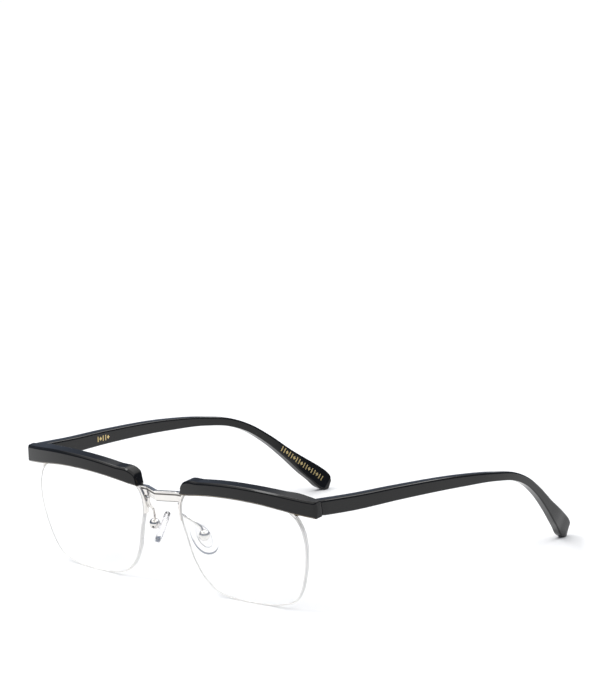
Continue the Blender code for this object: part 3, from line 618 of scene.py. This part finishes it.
def brow_back(x, height):
    """Depth of the bar's back: parallel to the front, and eased into the flat end block."""
    plain = bowl(x, height) + BROW_BACK
    share = np.clip((x - HALF_WIDTH + 2 * END_BLOCK) / END_BLOCK, 0, 1)
    return plain + (SEAM_DEPTH - plain) * share**2 * (3 - 2 * share)


def near_end(distance, reach):
    """From 1 at the end to 0 at `reach` from it, along a quarter circle."""
    return 1 - np.sqrt(1 - (1 - np.clip(distance / reach, 0, 1)) ** 2)


def make_brow(hand, side):
    """A section of eight (rise, depth) corners, carried from the nose to the outer end. Stations
    crowd towards both ends as a cosine does, and there a quarter circle trims the section. The
    front falls back with the distance to the end, and the back thins towards the nose."""
    bottom, top = brow_edge(BROW_BOTTOM), brow_edge(BROW_TOP)
    count = len(bottom) - 1
    fine = (1 - np.cos(np.linspace(0, math.pi / 2, 12))) * 5
    place = np.concatenate([fine, np.arange(6, count - 5), count - fine[::-1]])
    low, high = at(bottom, place), at(top, place)
    middle = (low + high) / 2
    from_nose = np.linalg.norm(middle - middle[0], axis=1)
    from_end = HALF_WIDTH - middle[:, 0]
    nearest = np.minimum(from_nose, from_end)
    trim = END_ROUND * near_end(nearest, END_ROUND)
    fall = np.clip(BROW_BEVEL - nearest, 0, None)
    tall = np.linalg.norm(high - low, axis=1)
    up = unit(high - low)
    bevel = np.full(len(low), BROW_BEVEL)
    soft = 0.3 + trim
    rise = np.stack([
        bevel + trim, tall - bevel - trim, tall - trim, tall - trim,
        tall - soft - trim, soft + trim, trim, trim,
    ], axis=1)
    front, back = fall - BROW_FRONT, -0.8 * trim - NOSE_TAPER * near_end(from_nose, NOSE_REACH)
    depth = np.stack([
        front, front, -BROW_FRONT + bevel + 0 * fall, back - soft,
        back, back, back - soft, -BROW_FRONT + bevel + 0 * fall,
    ], axis=1)
    section = rounded(np.stack([rise, depth], axis=-1), BROW_RADII, 5)
    flat = low[:, None] + up[:, None] * section[..., :1]
    x, height = flat[..., 0], flat[..., 1]
    behind = section[..., 1] > -BROW_FRONT / 2
    flat_depth = np.where(behind, brow_back(x, height), bowl(x, height)) + section[..., 1]
    grid = lean(x, flat_depth, height) * (side, 1, 1)
    made = piece(
        f"acetate_brow_{hand}", [capped(grid)], [ACETATE], "front", [f"brow_bar_{hand}"],
        sharp=50.0,
    )
    # Painted warm reflection on the bar's faces that point down.
    paint_lower_reflection(made, (0, -math.sin(LEAN), -math.cos(LEAN)), 0.5, 0.95)


for hand, side in HANDS.items():
    make_brow(hand, side)

# %% [markdown]
# ## The bridge
# The bridge is a pressed strap: a round rail along its top, a sunk flat face, and a lower edge
# bevelled away underneath. It is folded forward to a crease in the middle and soldered to both
# rims. Its section is carried along X, the folds are slightly rounded angles, and each end stops
# inside the rim's outer wall at every height. The groove under the rail and the lower bevel take
# a darker metal, which is painted shade: it stands in for the shade that falls into the groove
# and under the bevel.

# %% The bridge
BRIDGE_HEIGHT, BRIDGE_DEPTH, BRIDGE_KEEL, BRIDGE_TOP = 3.8, 1.5, 3.0, 34.5
BRIDGE_FOLD = 0.78 * LENS_NASAL
BRIDGE_SINK = 0.45
BRIDGE_ARC = 5


def rim_wall(height):
    """X of the rim's outer wall on the nasal side, at a height up the front."""
    wall = OUTLINE + OUTWARD * (FIT + RIM_HEIGHT)
    nasal = wall[: 4 * STEPS]
    return np.interp(height, nasal[:, 1], nasal[:, 0])


def make_bridge():
    """Share runs from 1 at the crease to 0 at the outer folds: the strap comes forward with it.
    Each corner of the section has the points of its arc and one more on either side."""
    corners = [
        (0.0, BRIDGE_DEPTH), (0.0, 0.75), (0.6, 0.12), (2.6, 0.12), (2.76, 0.4),
        (3.04, 0.4), (3.14, 0.0), (BRIDGE_HEIGHT, 0.0), (BRIDGE_HEIGHT, BRIDGE_DEPTH),
    ]
    radii = [0.15, 0.1, 0.1, 0.05, 0.05, 0.05, 0.2, 0.3, 0.15]
    section = rounded(corners, radii, BRIDGE_ARC)
    corner = np.arange(len(section)) // (BRIDGE_ARC + 2)
    # The cells of the groove and of the lower bevel take the dark metal as painted shade.
    painted_shade_cells = (corner == 1) | ((corner >= 3) & (corner <= 5))
    run = np.concatenate([np.linspace(0, 0.06, 5)[:-1], np.linspace(0.06, 0.6, 12)[:-1],
                          np.linspace(0.6, 0.8, 9)[:-1], np.linspace(0.8, 1, 8)])
    run = np.concatenate([-run[:0:-1], run])[:, None]
    reach = rim_wall(BRIDGE_TOP - BRIDGE_HEIGHT + section[:, 0]) + BRIDGE_SINK
    x = run * reach
    bend = 1 - (np.sqrt(x**2 + 0.02) - 0.14) / BRIDGE_FOLD
    share = (bend + np.sqrt(bend**2 + 0.0006)) / 2
    seat = bowl(LENS_NASAL, BRIDGE_TOP) - BRIDGE_DEPTH / 2
    depth = seat - share * BRIDGE_KEEL + section[:, 1]
    height = BRIDGE_TOP - BRIDGE_HEIGHT + share * 0.4 + section[:, 0]
    grid = lean(x, depth, height)
    piece(
        "strap_bridge", [capped(grid)], [METAL, PAINTED_SHADE_METAL], "front", ["bridge"],
        [painted_shade_cells.astype(int)], 38.0,
    )


make_bridge()

# %% [markdown]
# ## The nose pads and their arms
# Each pad is a drop of clear silicone over a hard clear insert. The insert's lug goes into a slot
# in a small ball, the pad box, with a screw across it, so that the pad can tilt. A bent wire joins
# the box to the rim, where a bead of solder shows. Pads are egg-shaped rings at rising levels,
# the wire is a tube along a smooth curve, and the ball is slotted and bored with Booleans.

# %% The pads' place and their shapes
PAD_BOX, PAD_BOX_RADIUS = (12.25, 6.9, 18.1), 1.9
PAD_NORMAL, PAD_LONG = (-0.72, 0.587, -0.375), (-0.55, -0.15, 0.82)
PAD_LENGTH, PAD_WIDTH, PAD_THICKNESS, PAD_STAND_OFF = 13.4, 7.8, 2.4, 1.85
INSERT_LENGTH, INSERT_WIDTH, INSERT_THICKNESS = 8.6, 4.2, 0.7
ARM_RADIUS = 0.5


def pad_place(side):
    """The pad box's middle and the pad's three directions: across, along and towards the nose."""
    x, behind, height = PAD_BOX
    centre = on_front(x, height, behind) * (side, 1, 1)
    normal = unit(np.array(PAD_NORMAL))
    along = np.array(PAD_LONG)
    along = unit(along - normal * (along @ normal)) * (side, 1, 1)
    normal = normal * (side, 1, 1)
    return centre, np.stack([np.cross(along, normal), along, normal], axis=1)


def egg_rows(side, rows, columns=72):
    """Egg rings, narrower at the top: each row is (length, width, level, shift along the pad)."""
    centre, turn = pad_place(side)
    rows = np.asarray(rows, float)[:, None]
    angle = np.linspace(0, 2 * math.pi, columns, endpoint=False)
    along = rows[..., 0] / 2 * np.sin(angle) + rows[..., 3]
    across = rows[..., 1] / 2 * np.cos(angle) * (1 - 0.12 * np.sin(angle))
    local = np.stack([across, along, rows[..., 2] + 0 * angle], axis=-1)
    return centre + local @ turn.T


def make_pad(hand, side):
    """The silicone's profile goes from the bed of the insert over the back lip, round the side as
    a squared circle and over a low crown. The insert is a plate with a lug behind it."""
    floor = PAD_STAND_OFF + INSERT_THICKNESS + FIT
    turn = np.linspace(-0.42 * math.pi, 0.5 * math.pi, 15)
    round_share = 1 - 0.2 * (1 - np.cos(turn) ** 0.8)
    level = PAD_STAND_OFF + 1.15 + 1.0 * np.sin(turn) * np.where(turn < 0, 1.15, 1.0)
    side_rows = np.stack([
        PAD_LENGTH * round_share, PAD_WIDTH * round_share, level, 0 * level,
    ], axis=1)
    crown = np.linspace(0.78, 0, 8)[1:]
    dome = (PAD_STAND_OFF + PAD_THICKNESS - level[-1]) * (1 - (crown / 0.8) ** 2)
    crown_rows = np.stack([
        PAD_LENGTH * crown, PAD_WIDTH * crown, level[-1] + dome, 0 * crown,
    ], axis=1)
    bed_length, bed_width = INSERT_LENGTH + 2 * FIT, INSERT_WIDTH + 2 * FIT
    bed_rows = np.array([
        (0, 0, floor, 0), (bed_length * 0.97, bed_width * 0.97, floor, 0),
        (bed_length, bed_width, floor - 0.1, 0), (bed_length, bed_width, PAD_STAND_OFF + 0.25, 0),
        (bed_length + 0.2, bed_width + 0.2, PAD_STAND_OFF + 0.12, 0),
    ])
    grid = egg_rows(side, np.concatenate([bed_rows, side_rows, crown_rows]))
    body = f"pad_{hand}"
    piece(f"silicone_pad_{hand}", [grid], [SILICONE], body, [f"nose_pad_{hand}"])

    top = PAD_STAND_OFF + INSERT_THICKNESS
    low = PAD_STAND_OFF + 0.02
    plate_rows = [
        (0, 0, low, 0), (INSERT_LENGTH - 0.3, INSERT_WIDTH - 0.3, low, 0),
        (INSERT_LENGTH, INSERT_WIDTH, low + 0.12, 0), (INSERT_LENGTH, INSERT_WIDTH, top - 0.12, 0),
        (INSERT_LENGTH - 0.3, INSERT_WIDTH - 0.3, top, 0), (0, 0, top, 0),
    ]
    lug_rows = [
        (0, 0, -0.52, 0), (1.2, 0.8, -0.5, 0), (1.75, 0.98, -0.2, 0), (1.9, 1.0, 0.6, 0),
        (2.2, 1.05, low - 0.25, 0), (3.0, 1.5, low + 0.05, 0), (0, 0, low + 0.06, 0),
    ]
    grids = [egg_rows(side, plate_rows), egg_rows(side, lug_rows, 32)]
    piece(f"clear_insert_{hand}", grids, [INSERT], body, [f"pad_insert_{hand}"])


def make_arm(hand, side):
    """The wire leaves the rim, swings back and down in an S and ends on top of the pad box."""
    beside = LENS_NASAL - FIT - RIM_HEIGHT - ARM_RADIUS - 0.02
    root = LENS_HEIGHT * (0.5 + RIM_OUTLINE[1][1])
    x, behind, height = PAD_BOX
    route = [
        on_front(beside - 0.15, root + 1.6, 0.2), on_front(beside - 0.1, root, 0.25),
        on_front(beside, root - 1.5, 1.0), on_front(beside + 0.8, root - 3.2, 2.8),
        on_front(x - 1.9, height + 4.4, behind - 1.5),
        on_front(x - 0.8, height + 2.6, behind - 0.35),
        on_front(x - 0.35, height + PAD_BOX_RADIUS * 0.9, behind - 0.25),
    ]
    path = curve_through(route, STEPS)
    arm = tube(path, ARM_RADIUS, 20, (1.0, 0.15, 0.0))
    bead = ball(on_front(beside + 0.42, root + 0.3, 0.22), (0.62, 0.62, 1.25))
    foot = ball(on_front(beside + 0.5, root - 1.2, 0.5), (0.5, 0.5, 0.7))
    grids = [grid * (side, 1, 1) for grid in (arm, bead, foot)]
    piece(
        f"soldered_arm_{hand}", grids, [METAL, SOLDER], "front", [f"pad_arm_{hand}"],
        [0, 1, 1],
    )


for hand, side in HANDS.items():
    make_pad(hand, side)
    make_arm(hand, side)

# %% [markdown]
# ## Small turned and milled parts
# Hinge leaves and lugs already have their true shape in the working model, but as loose triangles
# with knife edges. A copy of each is merged, and a narrow Bevel breaks its edges, as tumbling does
# to real ones. The pad boxes need a smoother ball than the model's, and the screws need domed and
# slotted heads, so both are made new and cut with Booleans.

# %% Dressed copies of the working model
EDGE_ANGLE = math.radians(40)


def break_edges(made, width):
    """A narrow bevel on every edge sharper than the edge angle."""
    soften = made.modifiers.new("broken edges", "BEVEL")
    soften.width, soften.segments = width * MM, 2
    soften.limit_method, soften.angle_limit = "ANGLE", EDGE_ANGLE
    return soften


def dressed_copy(node_name, piece_name, look, body, width):
    """The node's mesh with its points joined and its sharp edges broken by a narrow bevel."""
    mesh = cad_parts[node_name].data.copy()
    mesh.name = piece_name
    mesh.materials.clear()
    bm = bmesh.new()
    bm.from_mesh(mesh)
    bmesh.ops.remove_doubles(bm, verts=bm.verts, dist=2e-6)
    bmesh.ops.dissolve_limit(bm, angle_limit=math.radians(1.0), verts=bm.verts, edges=bm.edges)
    bm.to_mesh(mesh)
    bm.free()
    made = settle(mesh, piece_name, [look], body, [node_name], 35.0)
    break_edges(made, width).harden_normals = True


for hand in HANDS:
    dressed_copy(
        f"hinge_front_leaf_{hand}", f"front_hinge_{hand}", HINGE_METAL, "front", 0.1,
    )
    dressed_copy(
        f"hinge_temple_leaf_{hand}", f"temple_hinge_{hand}", HINGE_METAL, f"temple_{hand}",
        0.1,
    )
    for end in ("nasal", "temporal"):
        dressed_copy(f"rim_lug_{end}_{hand}", f"soldered_lug_{end}_{hand}", METAL, "front",
                     0.12)

# %% Pad boxes
PAD_LUG_WIDTH, SCREW_RADIUS, SCREW_HEAD_RADIUS, SCREW_HEAD_HEIGHT = 1.0, 0.4, 0.75, 0.45
BOX_FACE_GAP, BOX_SLOT_REACH, BOX_SLOT_FLOOR, BORE_PLAY = 0.35, 1.3, -1.25, 0.06


def cut_away(mesh, cutters):
    """Takes the cutters' meshes out of the mesh with exact Booleans."""
    target = into_scene("target", mesh)
    tools = []
    for cutter in cutters:
        tool = into_scene("cutter", cutter)
        tools.append(tool)
        cut = target.modifiers.new("cut", "BOOLEAN")
        cut.operation, cut.object, cut.solver = "DIFFERENCE", tool, "EXACT"
    bpy.context.view_layer.update()
    graph = bpy.context.evaluated_depsgraph_get()
    result = bpy.data.meshes.new_from_object(target.evaluated_get(graph))
    for each in [target, *tools]:
        bpy.data.objects.remove(each)
    return result


def block(place, turn, low, high):
    """A box between two corners, along the columns of `turn` about `place`: a four-sided tube."""
    (x0, y0, z0), (x1, y1, z1) = low, high
    ring = np.array([(x0, y0), (x1, y0), (x1, y1), (x0, y1)])
    levels = np.array([z0, z1])
    local = np.concatenate([np.broadcast_to(ring, (2, 4, 2)),
                            np.broadcast_to(levels[:, None, None], (2, 4, 1))], axis=-1)
    return closed_mesh("block", [capped(place + local @ turn.T)])


def rod(start, stop, radius, sides=32):
    """A plain rod between two points, as a cutter."""
    path = np.array([start, stop])
    ahead = unit(path[1] - path[0])
    across = unit(np.cross(ahead, (0.3, 0.5, 0.81)))
    ring = circle(across, np.cross(ahead, across), sides) * radius
    return closed_mesh("rod", [capped(path[:, None] + ring)])


def make_pad_box(hand, side):
    """A smooth ball cut flat in front of the pad, slotted for the lug and counterbored."""
    centre, turn = pad_place(side)
    radius = PAD_BOX_RADIUS
    mesh = closed_mesh("pad box", [ball(centre, radius, 33, 64, turn)])
    half, wide = PAD_LUG_WIDTH / 2 + FIT, 2 * radius
    across = turn[:, 0] * side
    cutters = [
        block(centre, turn, (-wide, -wide, PAD_STAND_OFF - BOX_FACE_GAP), (wide, wide, wide)),
        block(centre, turn, (-half, -BOX_SLOT_REACH, BOX_SLOT_FLOOR), (half, BOX_SLOT_REACH, wide)),
        rod(centre - across * wide, centre + across * wide, SCREW_RADIUS + BORE_PLAY),
        rod(centre - across * radius * 0.8, centre - across * wide, SCREW_HEAD_RADIUS + FIT),
    ]
    mesh = cut_away(mesh, cutters)
    made = settle(mesh, f"ball_box_{hand}", [METAL], "front", [f"pad_box_{hand}"])
    break_edges(made, 0.06)


for hand, side in HANDS.items():
    make_pad_box(hand, side)

# %% Screws
def screw_axis(node_name, guess):
    """The top of a screw's head, its axis and its length, measured on the working model: the
    middle of the points square to the axis, and their two ends along it."""
    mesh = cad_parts[node_name].data
    points = np.empty(len(mesh.vertices) * 3, np.float32)
    mesh.vertices.foreach_get("co", points)
    points = points.reshape(-1, 3).astype(float) / MM
    axis = unit(np.asarray(guess, float))
    along = points @ axis
    ends = along.max(), along.min()
    middle = points - along[:, None] * axis
    centre = (middle.min(axis=0) + middle.max(axis=0)) / 2
    centre = centre - (centre @ axis) * axis
    return centre + axis * ends[0], axis, ends[0] - ends[1]


def turned(centre, axis, profile, columns=40):
    """A turned shape: the profile's (radius, level) rows go round the axis."""
    axis = unit(np.asarray(axis, float))
    across = unit(np.cross(axis, (0.31, 0.47, 0.83)))
    ring = circle(across, np.cross(axis, across), columns)
    profile = np.asarray(profile, float)
    return centre + ring * profile[:, None, :1] + axis * profile[:, None, 1:]


def make_screw(node_name, piece_name, axis, head, shank, body):
    """A domed head with a milled slot, over a shank. Levels are counted from the head's top."""
    top, axis, length = screw_axis(node_name, axis)
    dome = np.linspace(0, math.pi / 2, 7)
    tall = SCREW_HEAD_HEIGHT
    rows = np.stack([head * np.sin(dome), -0.18 * (1 - np.cos(dome))], axis=1)
    rows = np.concatenate([rows, [(head, -tall + 0.05), (head - 0.05, -tall), (shank, -tall),
                                  (shank, -length + 0.1), (shank - 0.1, -length), (0, -length)]])
    mesh = closed_mesh(piece_name, [turned(top, axis, rows)])
    across = unit(np.cross(axis, (0.31, 0.47, 0.83)))
    slot = np.stack([across, np.cross(axis, across), axis], axis=1)
    cutter = block(top, slot, (-2 * head, -head / 5, -tall * 0.55), (2 * head, head / 5, tall))
    mesh = cut_away(mesh, [cutter])
    settle(mesh, piece_name, [SCREW_METAL], body, [node_name])


BACKWARDS = (0, math.cos(LEAN), math.sin(LEAN))
HINGE_PIN_RADIUS = 0.5
for hand, side in HANDS.items():
    for end in ("nasal", "temporal"):
        make_screw(f"brow_screw_{end}_{hand}", f"slotted_screw_{end}_{hand}", BACKWARDS,
                   SCREW_HEAD_RADIUS, SCREW_RADIUS, "front")
    across = -pad_place(side)[1][:, 0] * side
    make_screw(f"pad_screw_{hand}", f"slotted_pad_screw_{hand}", across,
               SCREW_HEAD_RADIUS, SCREW_RADIUS, "front")
    make_screw(f"hinge_screw_{hand}", f"slotted_hinge_screw_{hand}", (0, 0, 1),
               HINGE_PIN_RADIUS * 1.8, HINGE_PIN_RADIUS, "front")

# %% [markdown]
# ## The temples
# A temple is a long acetate bar over a wire core. It starts square at the seam, thins to the ear
# bend, and widens again to a paddle that rests behind the ear. It could be a curve object with a
# bevel profile, but height and thickness change separately, so it is lofted: a rounded rectangle
# is carried along the middle line, square to it, and its lowest point is brought to the floor.

# %% Temples
TEMPLE_THICKNESS, SEAM_GAP, TEMPLE_REACH = 4.0, 0.12, 132.1
TIP_HEIGHT, DESIGN_END_HEIGHT = 2.25, 35.3
TEMPLE_CORNERS = np.array([0.52, 0.46, 0.3, 0.3])
TEMPLE_LINE = (
    (0.0, 0.0, 0.0, 5.5), (15.0, 0.8, 1.0, 5.3), (35.0, 1.2, 2.2, 4.8), (65.0, 2.7, 3.0, 4.0),
    (83.0, 4.6, 2.4, 3.1), (93.0, 6.5, 1.2, 2.9), (101.0, 9.7, -0.3, 2.8),
    (109.0, 14.9, -2.2, 3.1), (117.0, 21.5, -4.4, 4.0), (123.0, 26.5, -6.2, 5.6),
    (126.6, 29.4, -7.6, 6.3), (129.1, 31.7, -8.5, 6.7), (130.7, 33.05, -9.1, 5.8),
    (132.1, 33.8, -9.6, 2.9),
)
END_HEIGHT = LENS_HEIGHT + (BROW_BOTTOM[-1][1] + BROW_TOP[-1][1]) / 2


def temple_line():
    """Middle points, up directions, heights and thicknesses from the seam to the tip."""
    start = lean(HALF_WIDTH - TEMPLE_THICKNESS / 2, SEAM_DEPTH + SEAM_GAP, END_HEIGHT)
    line = curve_through(TEMPLE_LINE, STEPS)
    drop = line[:, 1] * (start[2] - TIP_HEIGHT) / (DESIGN_END_HEIGHT - TIP_HEIGHT)
    reach = line[:, 0] * TEMPLE_REACH / TEMPLE_LINE[-1][0]
    middle = start + np.stack([line[:, 2], reach, -drop], axis=1)
    slope = np.gradient(middle, axis=0)
    share = np.minimum(np.arange(len(middle)) / STEPS, 1)
    angle = np.arctan2(-slope[:, 2], slope[:, 1]) * share - LEAN * (1 - share)
    up = np.stack([0 * angle, np.sin(angle), np.cos(angle)], axis=1)
    thick = TEMPLE_THICKNESS * (1 - 0.2 * np.minimum(line[:, 0] / TEMPLE_LINE[4][0], 1))
    return middle, up, line[:, 3], thick


def make_temple(hand, side):
    """Each corner's radius is a share of the section's smaller half size, larger above than below.
    The tip is rounded off in plan by narrowing the last stations as a circle does."""
    middle, up, tall, thick = temple_line()
    from_tip = np.linalg.norm(middle - middle[-1], axis=1)
    from_seam = middle[:, 1] - middle[0, 1]
    thick = thick * (1 - 0.45 * near_end(from_tip, 1.9))
    trim = 0.12 * near_end(from_seam, 0.5)
    half, high = thick / 2 - trim, tall / 2 - trim
    corners = np.stack([
        np.stack([half, high], -1), np.stack([-half, high], -1),
        np.stack([-half, -high], -1), np.stack([half, -high], -1),
    ], axis=1)
    soft = np.minimum(half, high)[:, None] * TEMPLE_CORNERS
    section = rounded(corners, soft, 7)
    rings = middle[:, None] + section[..., 1:] * up[:, None]
    rings[..., 0] += section[..., 0]
    lowest = rings[..., 2].min()
    fall = (middle[0, 2] - middle[:, 2]) / (middle[0, 2] - middle[-1, 2])
    rings[..., 2] -= lowest * fall[:, None]
    middle[:, 2] -= lowest * fall
    made = piece(
        f"acetate_temple_{hand}", [capped(rings * (side, 1, 1))], [ACETATE], f"temple_{hand}",
        [f"temple_{hand}"], sharp=50.0,
    )
    # Painted warm reflection on the temple's faces that point down.
    paint_lower_reflection(made, (0, 0, -1), 0.86, 0.985)
    return middle, up, tall, thick


TEMPLES = {hand: make_temple(hand, side) for hand, side in HANDS.items()}

# %% [markdown]
# ## Gold foil ornament
# The inner faces of the temples carry small hot-stamped gold foil. Here it is a plain geometric
# ornament, lozenges and bars with no lettering: a short row near the hinge and a long row before
# the tip. Each mark is a very thin plate that lies on the inner face and follows its slope.

# %% Foil marks
FOIL_LIFT, FOIL_SINK = 0.03, 0.05
NEAR_START, NEAR_PITCH, NEAR_COUNT = 28.4, 1.3, 5
FAR_START, FAR_PITCH, FAR_COUNT = 24.8, 1.26, 17


def foil_marks(hand, side):
    """Every third mark is a lozenge and the rest are bars. The near row starts behind the seam and
    the far row before the tip, both counted along the middle line."""
    middle, up, tall, thick = TEMPLES[hand]
    along = unit(np.gradient(middle, axis=0))
    run = np.concatenate([[0], np.cumsum(np.linalg.norm(np.diff(middle, axis=0), axis=1))])
    near = NEAR_START + NEAR_PITCH * np.arange(NEAR_COUNT)
    far = run[-1] - FAR_START + FAR_PITCH * np.arange(FAR_COUNT)
    places = np.concatenate([near, far])
    number = np.arange(len(places))
    lozenge = number % 3 == 1
    length = np.where(lozenge, 0.62, 0.2)
    rise = np.where(lozenge, 0.75, 0.95)
    square = np.array([(1, 1), (-1, 1), (-1, -1), (1, -1)], float)
    diamond = np.array([(1, 0), (0, 1), (-1, 0), (0, -1)], float)
    grids = []
    for place, is_diamond, long, high in zip(places, lozenge, length, rise):
        pick = [np.interp(place, run, column) for column in (*middle.T, *up.T, *along.T, thick)]
        centre, rise_way, ahead, wide = pick[0:3], unit(np.array(pick[3:6])), pick[6:9], pick[9]
        shape = (diamond if is_diamond else square) * (long, high)
        inner = np.array(centre) - (wide / 2, 0, 0)
        flat = inner + shape[:, :1] * np.array(ahead) + shape[:, 1:] * rise_way
        grids.append(np.stack([flat - (FOIL_LIFT, 0, 0), flat + (FOIL_SINK, 0, 0)]) * (side, 1, 1))
    piece(
        f"foil_marks_{hand}", [capped(grid) for grid in grids], [GOLD_FOIL], f"temple_{hand}",
        [],
    )


for hand, side in HANDS.items():
    foil_marks(hand, side)

# %% [markdown]
# ## The cores
# A wire stiffens each temple from the inside. Black acetate hides it, so the working model's own
# core stays as it is and only takes the metal finish. A finer copy would never be seen.

# %% Hidden cores
for hand in HANDS:
    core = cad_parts[f"temple_core_{hand}"]
    core.data.materials.clear()
    core.data.materials.append(METAL)

# %% [markdown]
# ## The studio
# Glossy black shows nothing but what it reflects. So the room is a bright ceiling over dim walls:
# level faces mirror the dim wall and stay black, and the pale floor stays behind the clear parts.
# One softbox stands where the front's upper bevel mirrors it, and a long strip behind the glasses
# draws a thin line along the temples. A single even white room would turn the black to grey. The
# camera is a long lens at the three-quarter view, slightly above the glasses.

# %% Floor and light
FLOOR_HALF = 12.0


def make_floor():
    """A square far wider than the glasses, at the height of their lowest point."""
    mesh = bpy.data.meshes.new("studio_floor")
    ring = FLOOR_HALF * np.array([(-1, -1, 0), (1, -1, 0), (1, 1, 0), (-1, 1, 0)], float)
    ring[:, 2] = CAD_BOX[0].z
    mesh.from_pydata(ring.tolist(), [], [(0, 1, 2, 3)])
    floor = into_scene("studio_floor", mesh)
    paper = bpy.data.materials.new("white_paper")
    paper.use_nodes = True
    shader = paper.node_tree.nodes["Principled BSDF"]
    set_sockets(shader, Base_Color=(0.94, 0.94, 0.94, 1), Roughness=0.7, Specular_IOR_Level=0.1)
    mesh.materials.append(paper)


def soft_light(name, place, aim, wide, tall, power):
    """A rectangular area light that faces the point it is aimed at."""
    data = bpy.data.lights.new(name, "AREA")
    data.shape, data.size, data.size_y, data.energy = "RECTANGLE", wide, tall, power
    light = into_scene(name, data)
    light.location = place
    light.rotation_euler = (Vector(aim) - Vector(place)).to_track_quat("-Z", "Y").to_euler()


def make_world():
    """A bright ceiling over dim walls: the colour climbs with the height of the direction."""
    world = bpy.data.worlds.new("studio_room")
    world.use_nodes = True
    tree = world.node_tree
    place = tree.nodes.new("ShaderNodeTexCoord")
    split = tree.nodes.new("ShaderNodeSeparateXYZ")
    climb = node(tree, "ShaderNodeMapRange", From_Min=0.47, From_Max=0.72)
    climb.interpolation_type = "SMOOTHSTEP"
    room = colour_mix(tree, A=(0.17, 0.2, 0.26), B=(1.5, 1.5, 1.5))
    link(tree, place, "Generated", split, "Vector")
    link(tree, split, "Z", climb, "Value")
    link(tree, climb, "Result", room, "Factor")
    link(tree, room, "Result", tree.nodes["Background"], "Color")
    bpy.context.scene.world = world


make_floor()
make_world()
soft_light("front_softbox", (-0.63, -0.47, 1.16), (0, 0, 0.03), 0.65, 0.36, 5.0)
soft_light("back_strip", (0.3, 1.0, 0.97), (0, 0, 0.03), 0.9, 0.12, 1.9)
bpy.context.scene.view_settings.view_transform = "Standard"

# %% Camera
CAMERA_YAW, CAMERA_PITCH, CAMERA_ROLL = (math.radians(a) for a in (44.27, 12.00, -1.48))
CAMERA_PLACE = Vector((1.3869, -1.4226, 0.4946))
CAMERA_LENS, CAMERA_SENSOR = 312.8, 36.0


def make_camera():
    """Right, up and backward directions from the yaw and pitch, then turned by the roll."""
    yaw, pitch, roll = CAMERA_YAW, CAMERA_PITCH, CAMERA_ROLL
    back = Vector((
        math.sin(yaw) * math.cos(pitch), -math.cos(yaw) * math.cos(pitch), math.sin(pitch)
    ))
    right = Vector((math.cos(yaw), math.sin(yaw), 0))
    up = back.cross(right)
    turned_right = right * math.cos(roll) + up * math.sin(roll)
    turned_up = up * math.cos(roll) - right * math.sin(roll)
    data = bpy.data.cameras.new("camera")
    data.lens, data.sensor_width = CAMERA_LENS, CAMERA_SENSOR
    data.clip_start, data.clip_end = 0.1, 100.0
    camera = into_scene("camera", data)
    turn = Matrix((turned_right, turned_up, back)).transposed().to_4x4()
    camera.matrix_world = Matrix.Translation(CAMERA_PLACE) @ turn
    bpy.context.scene.camera = camera


make_camera()
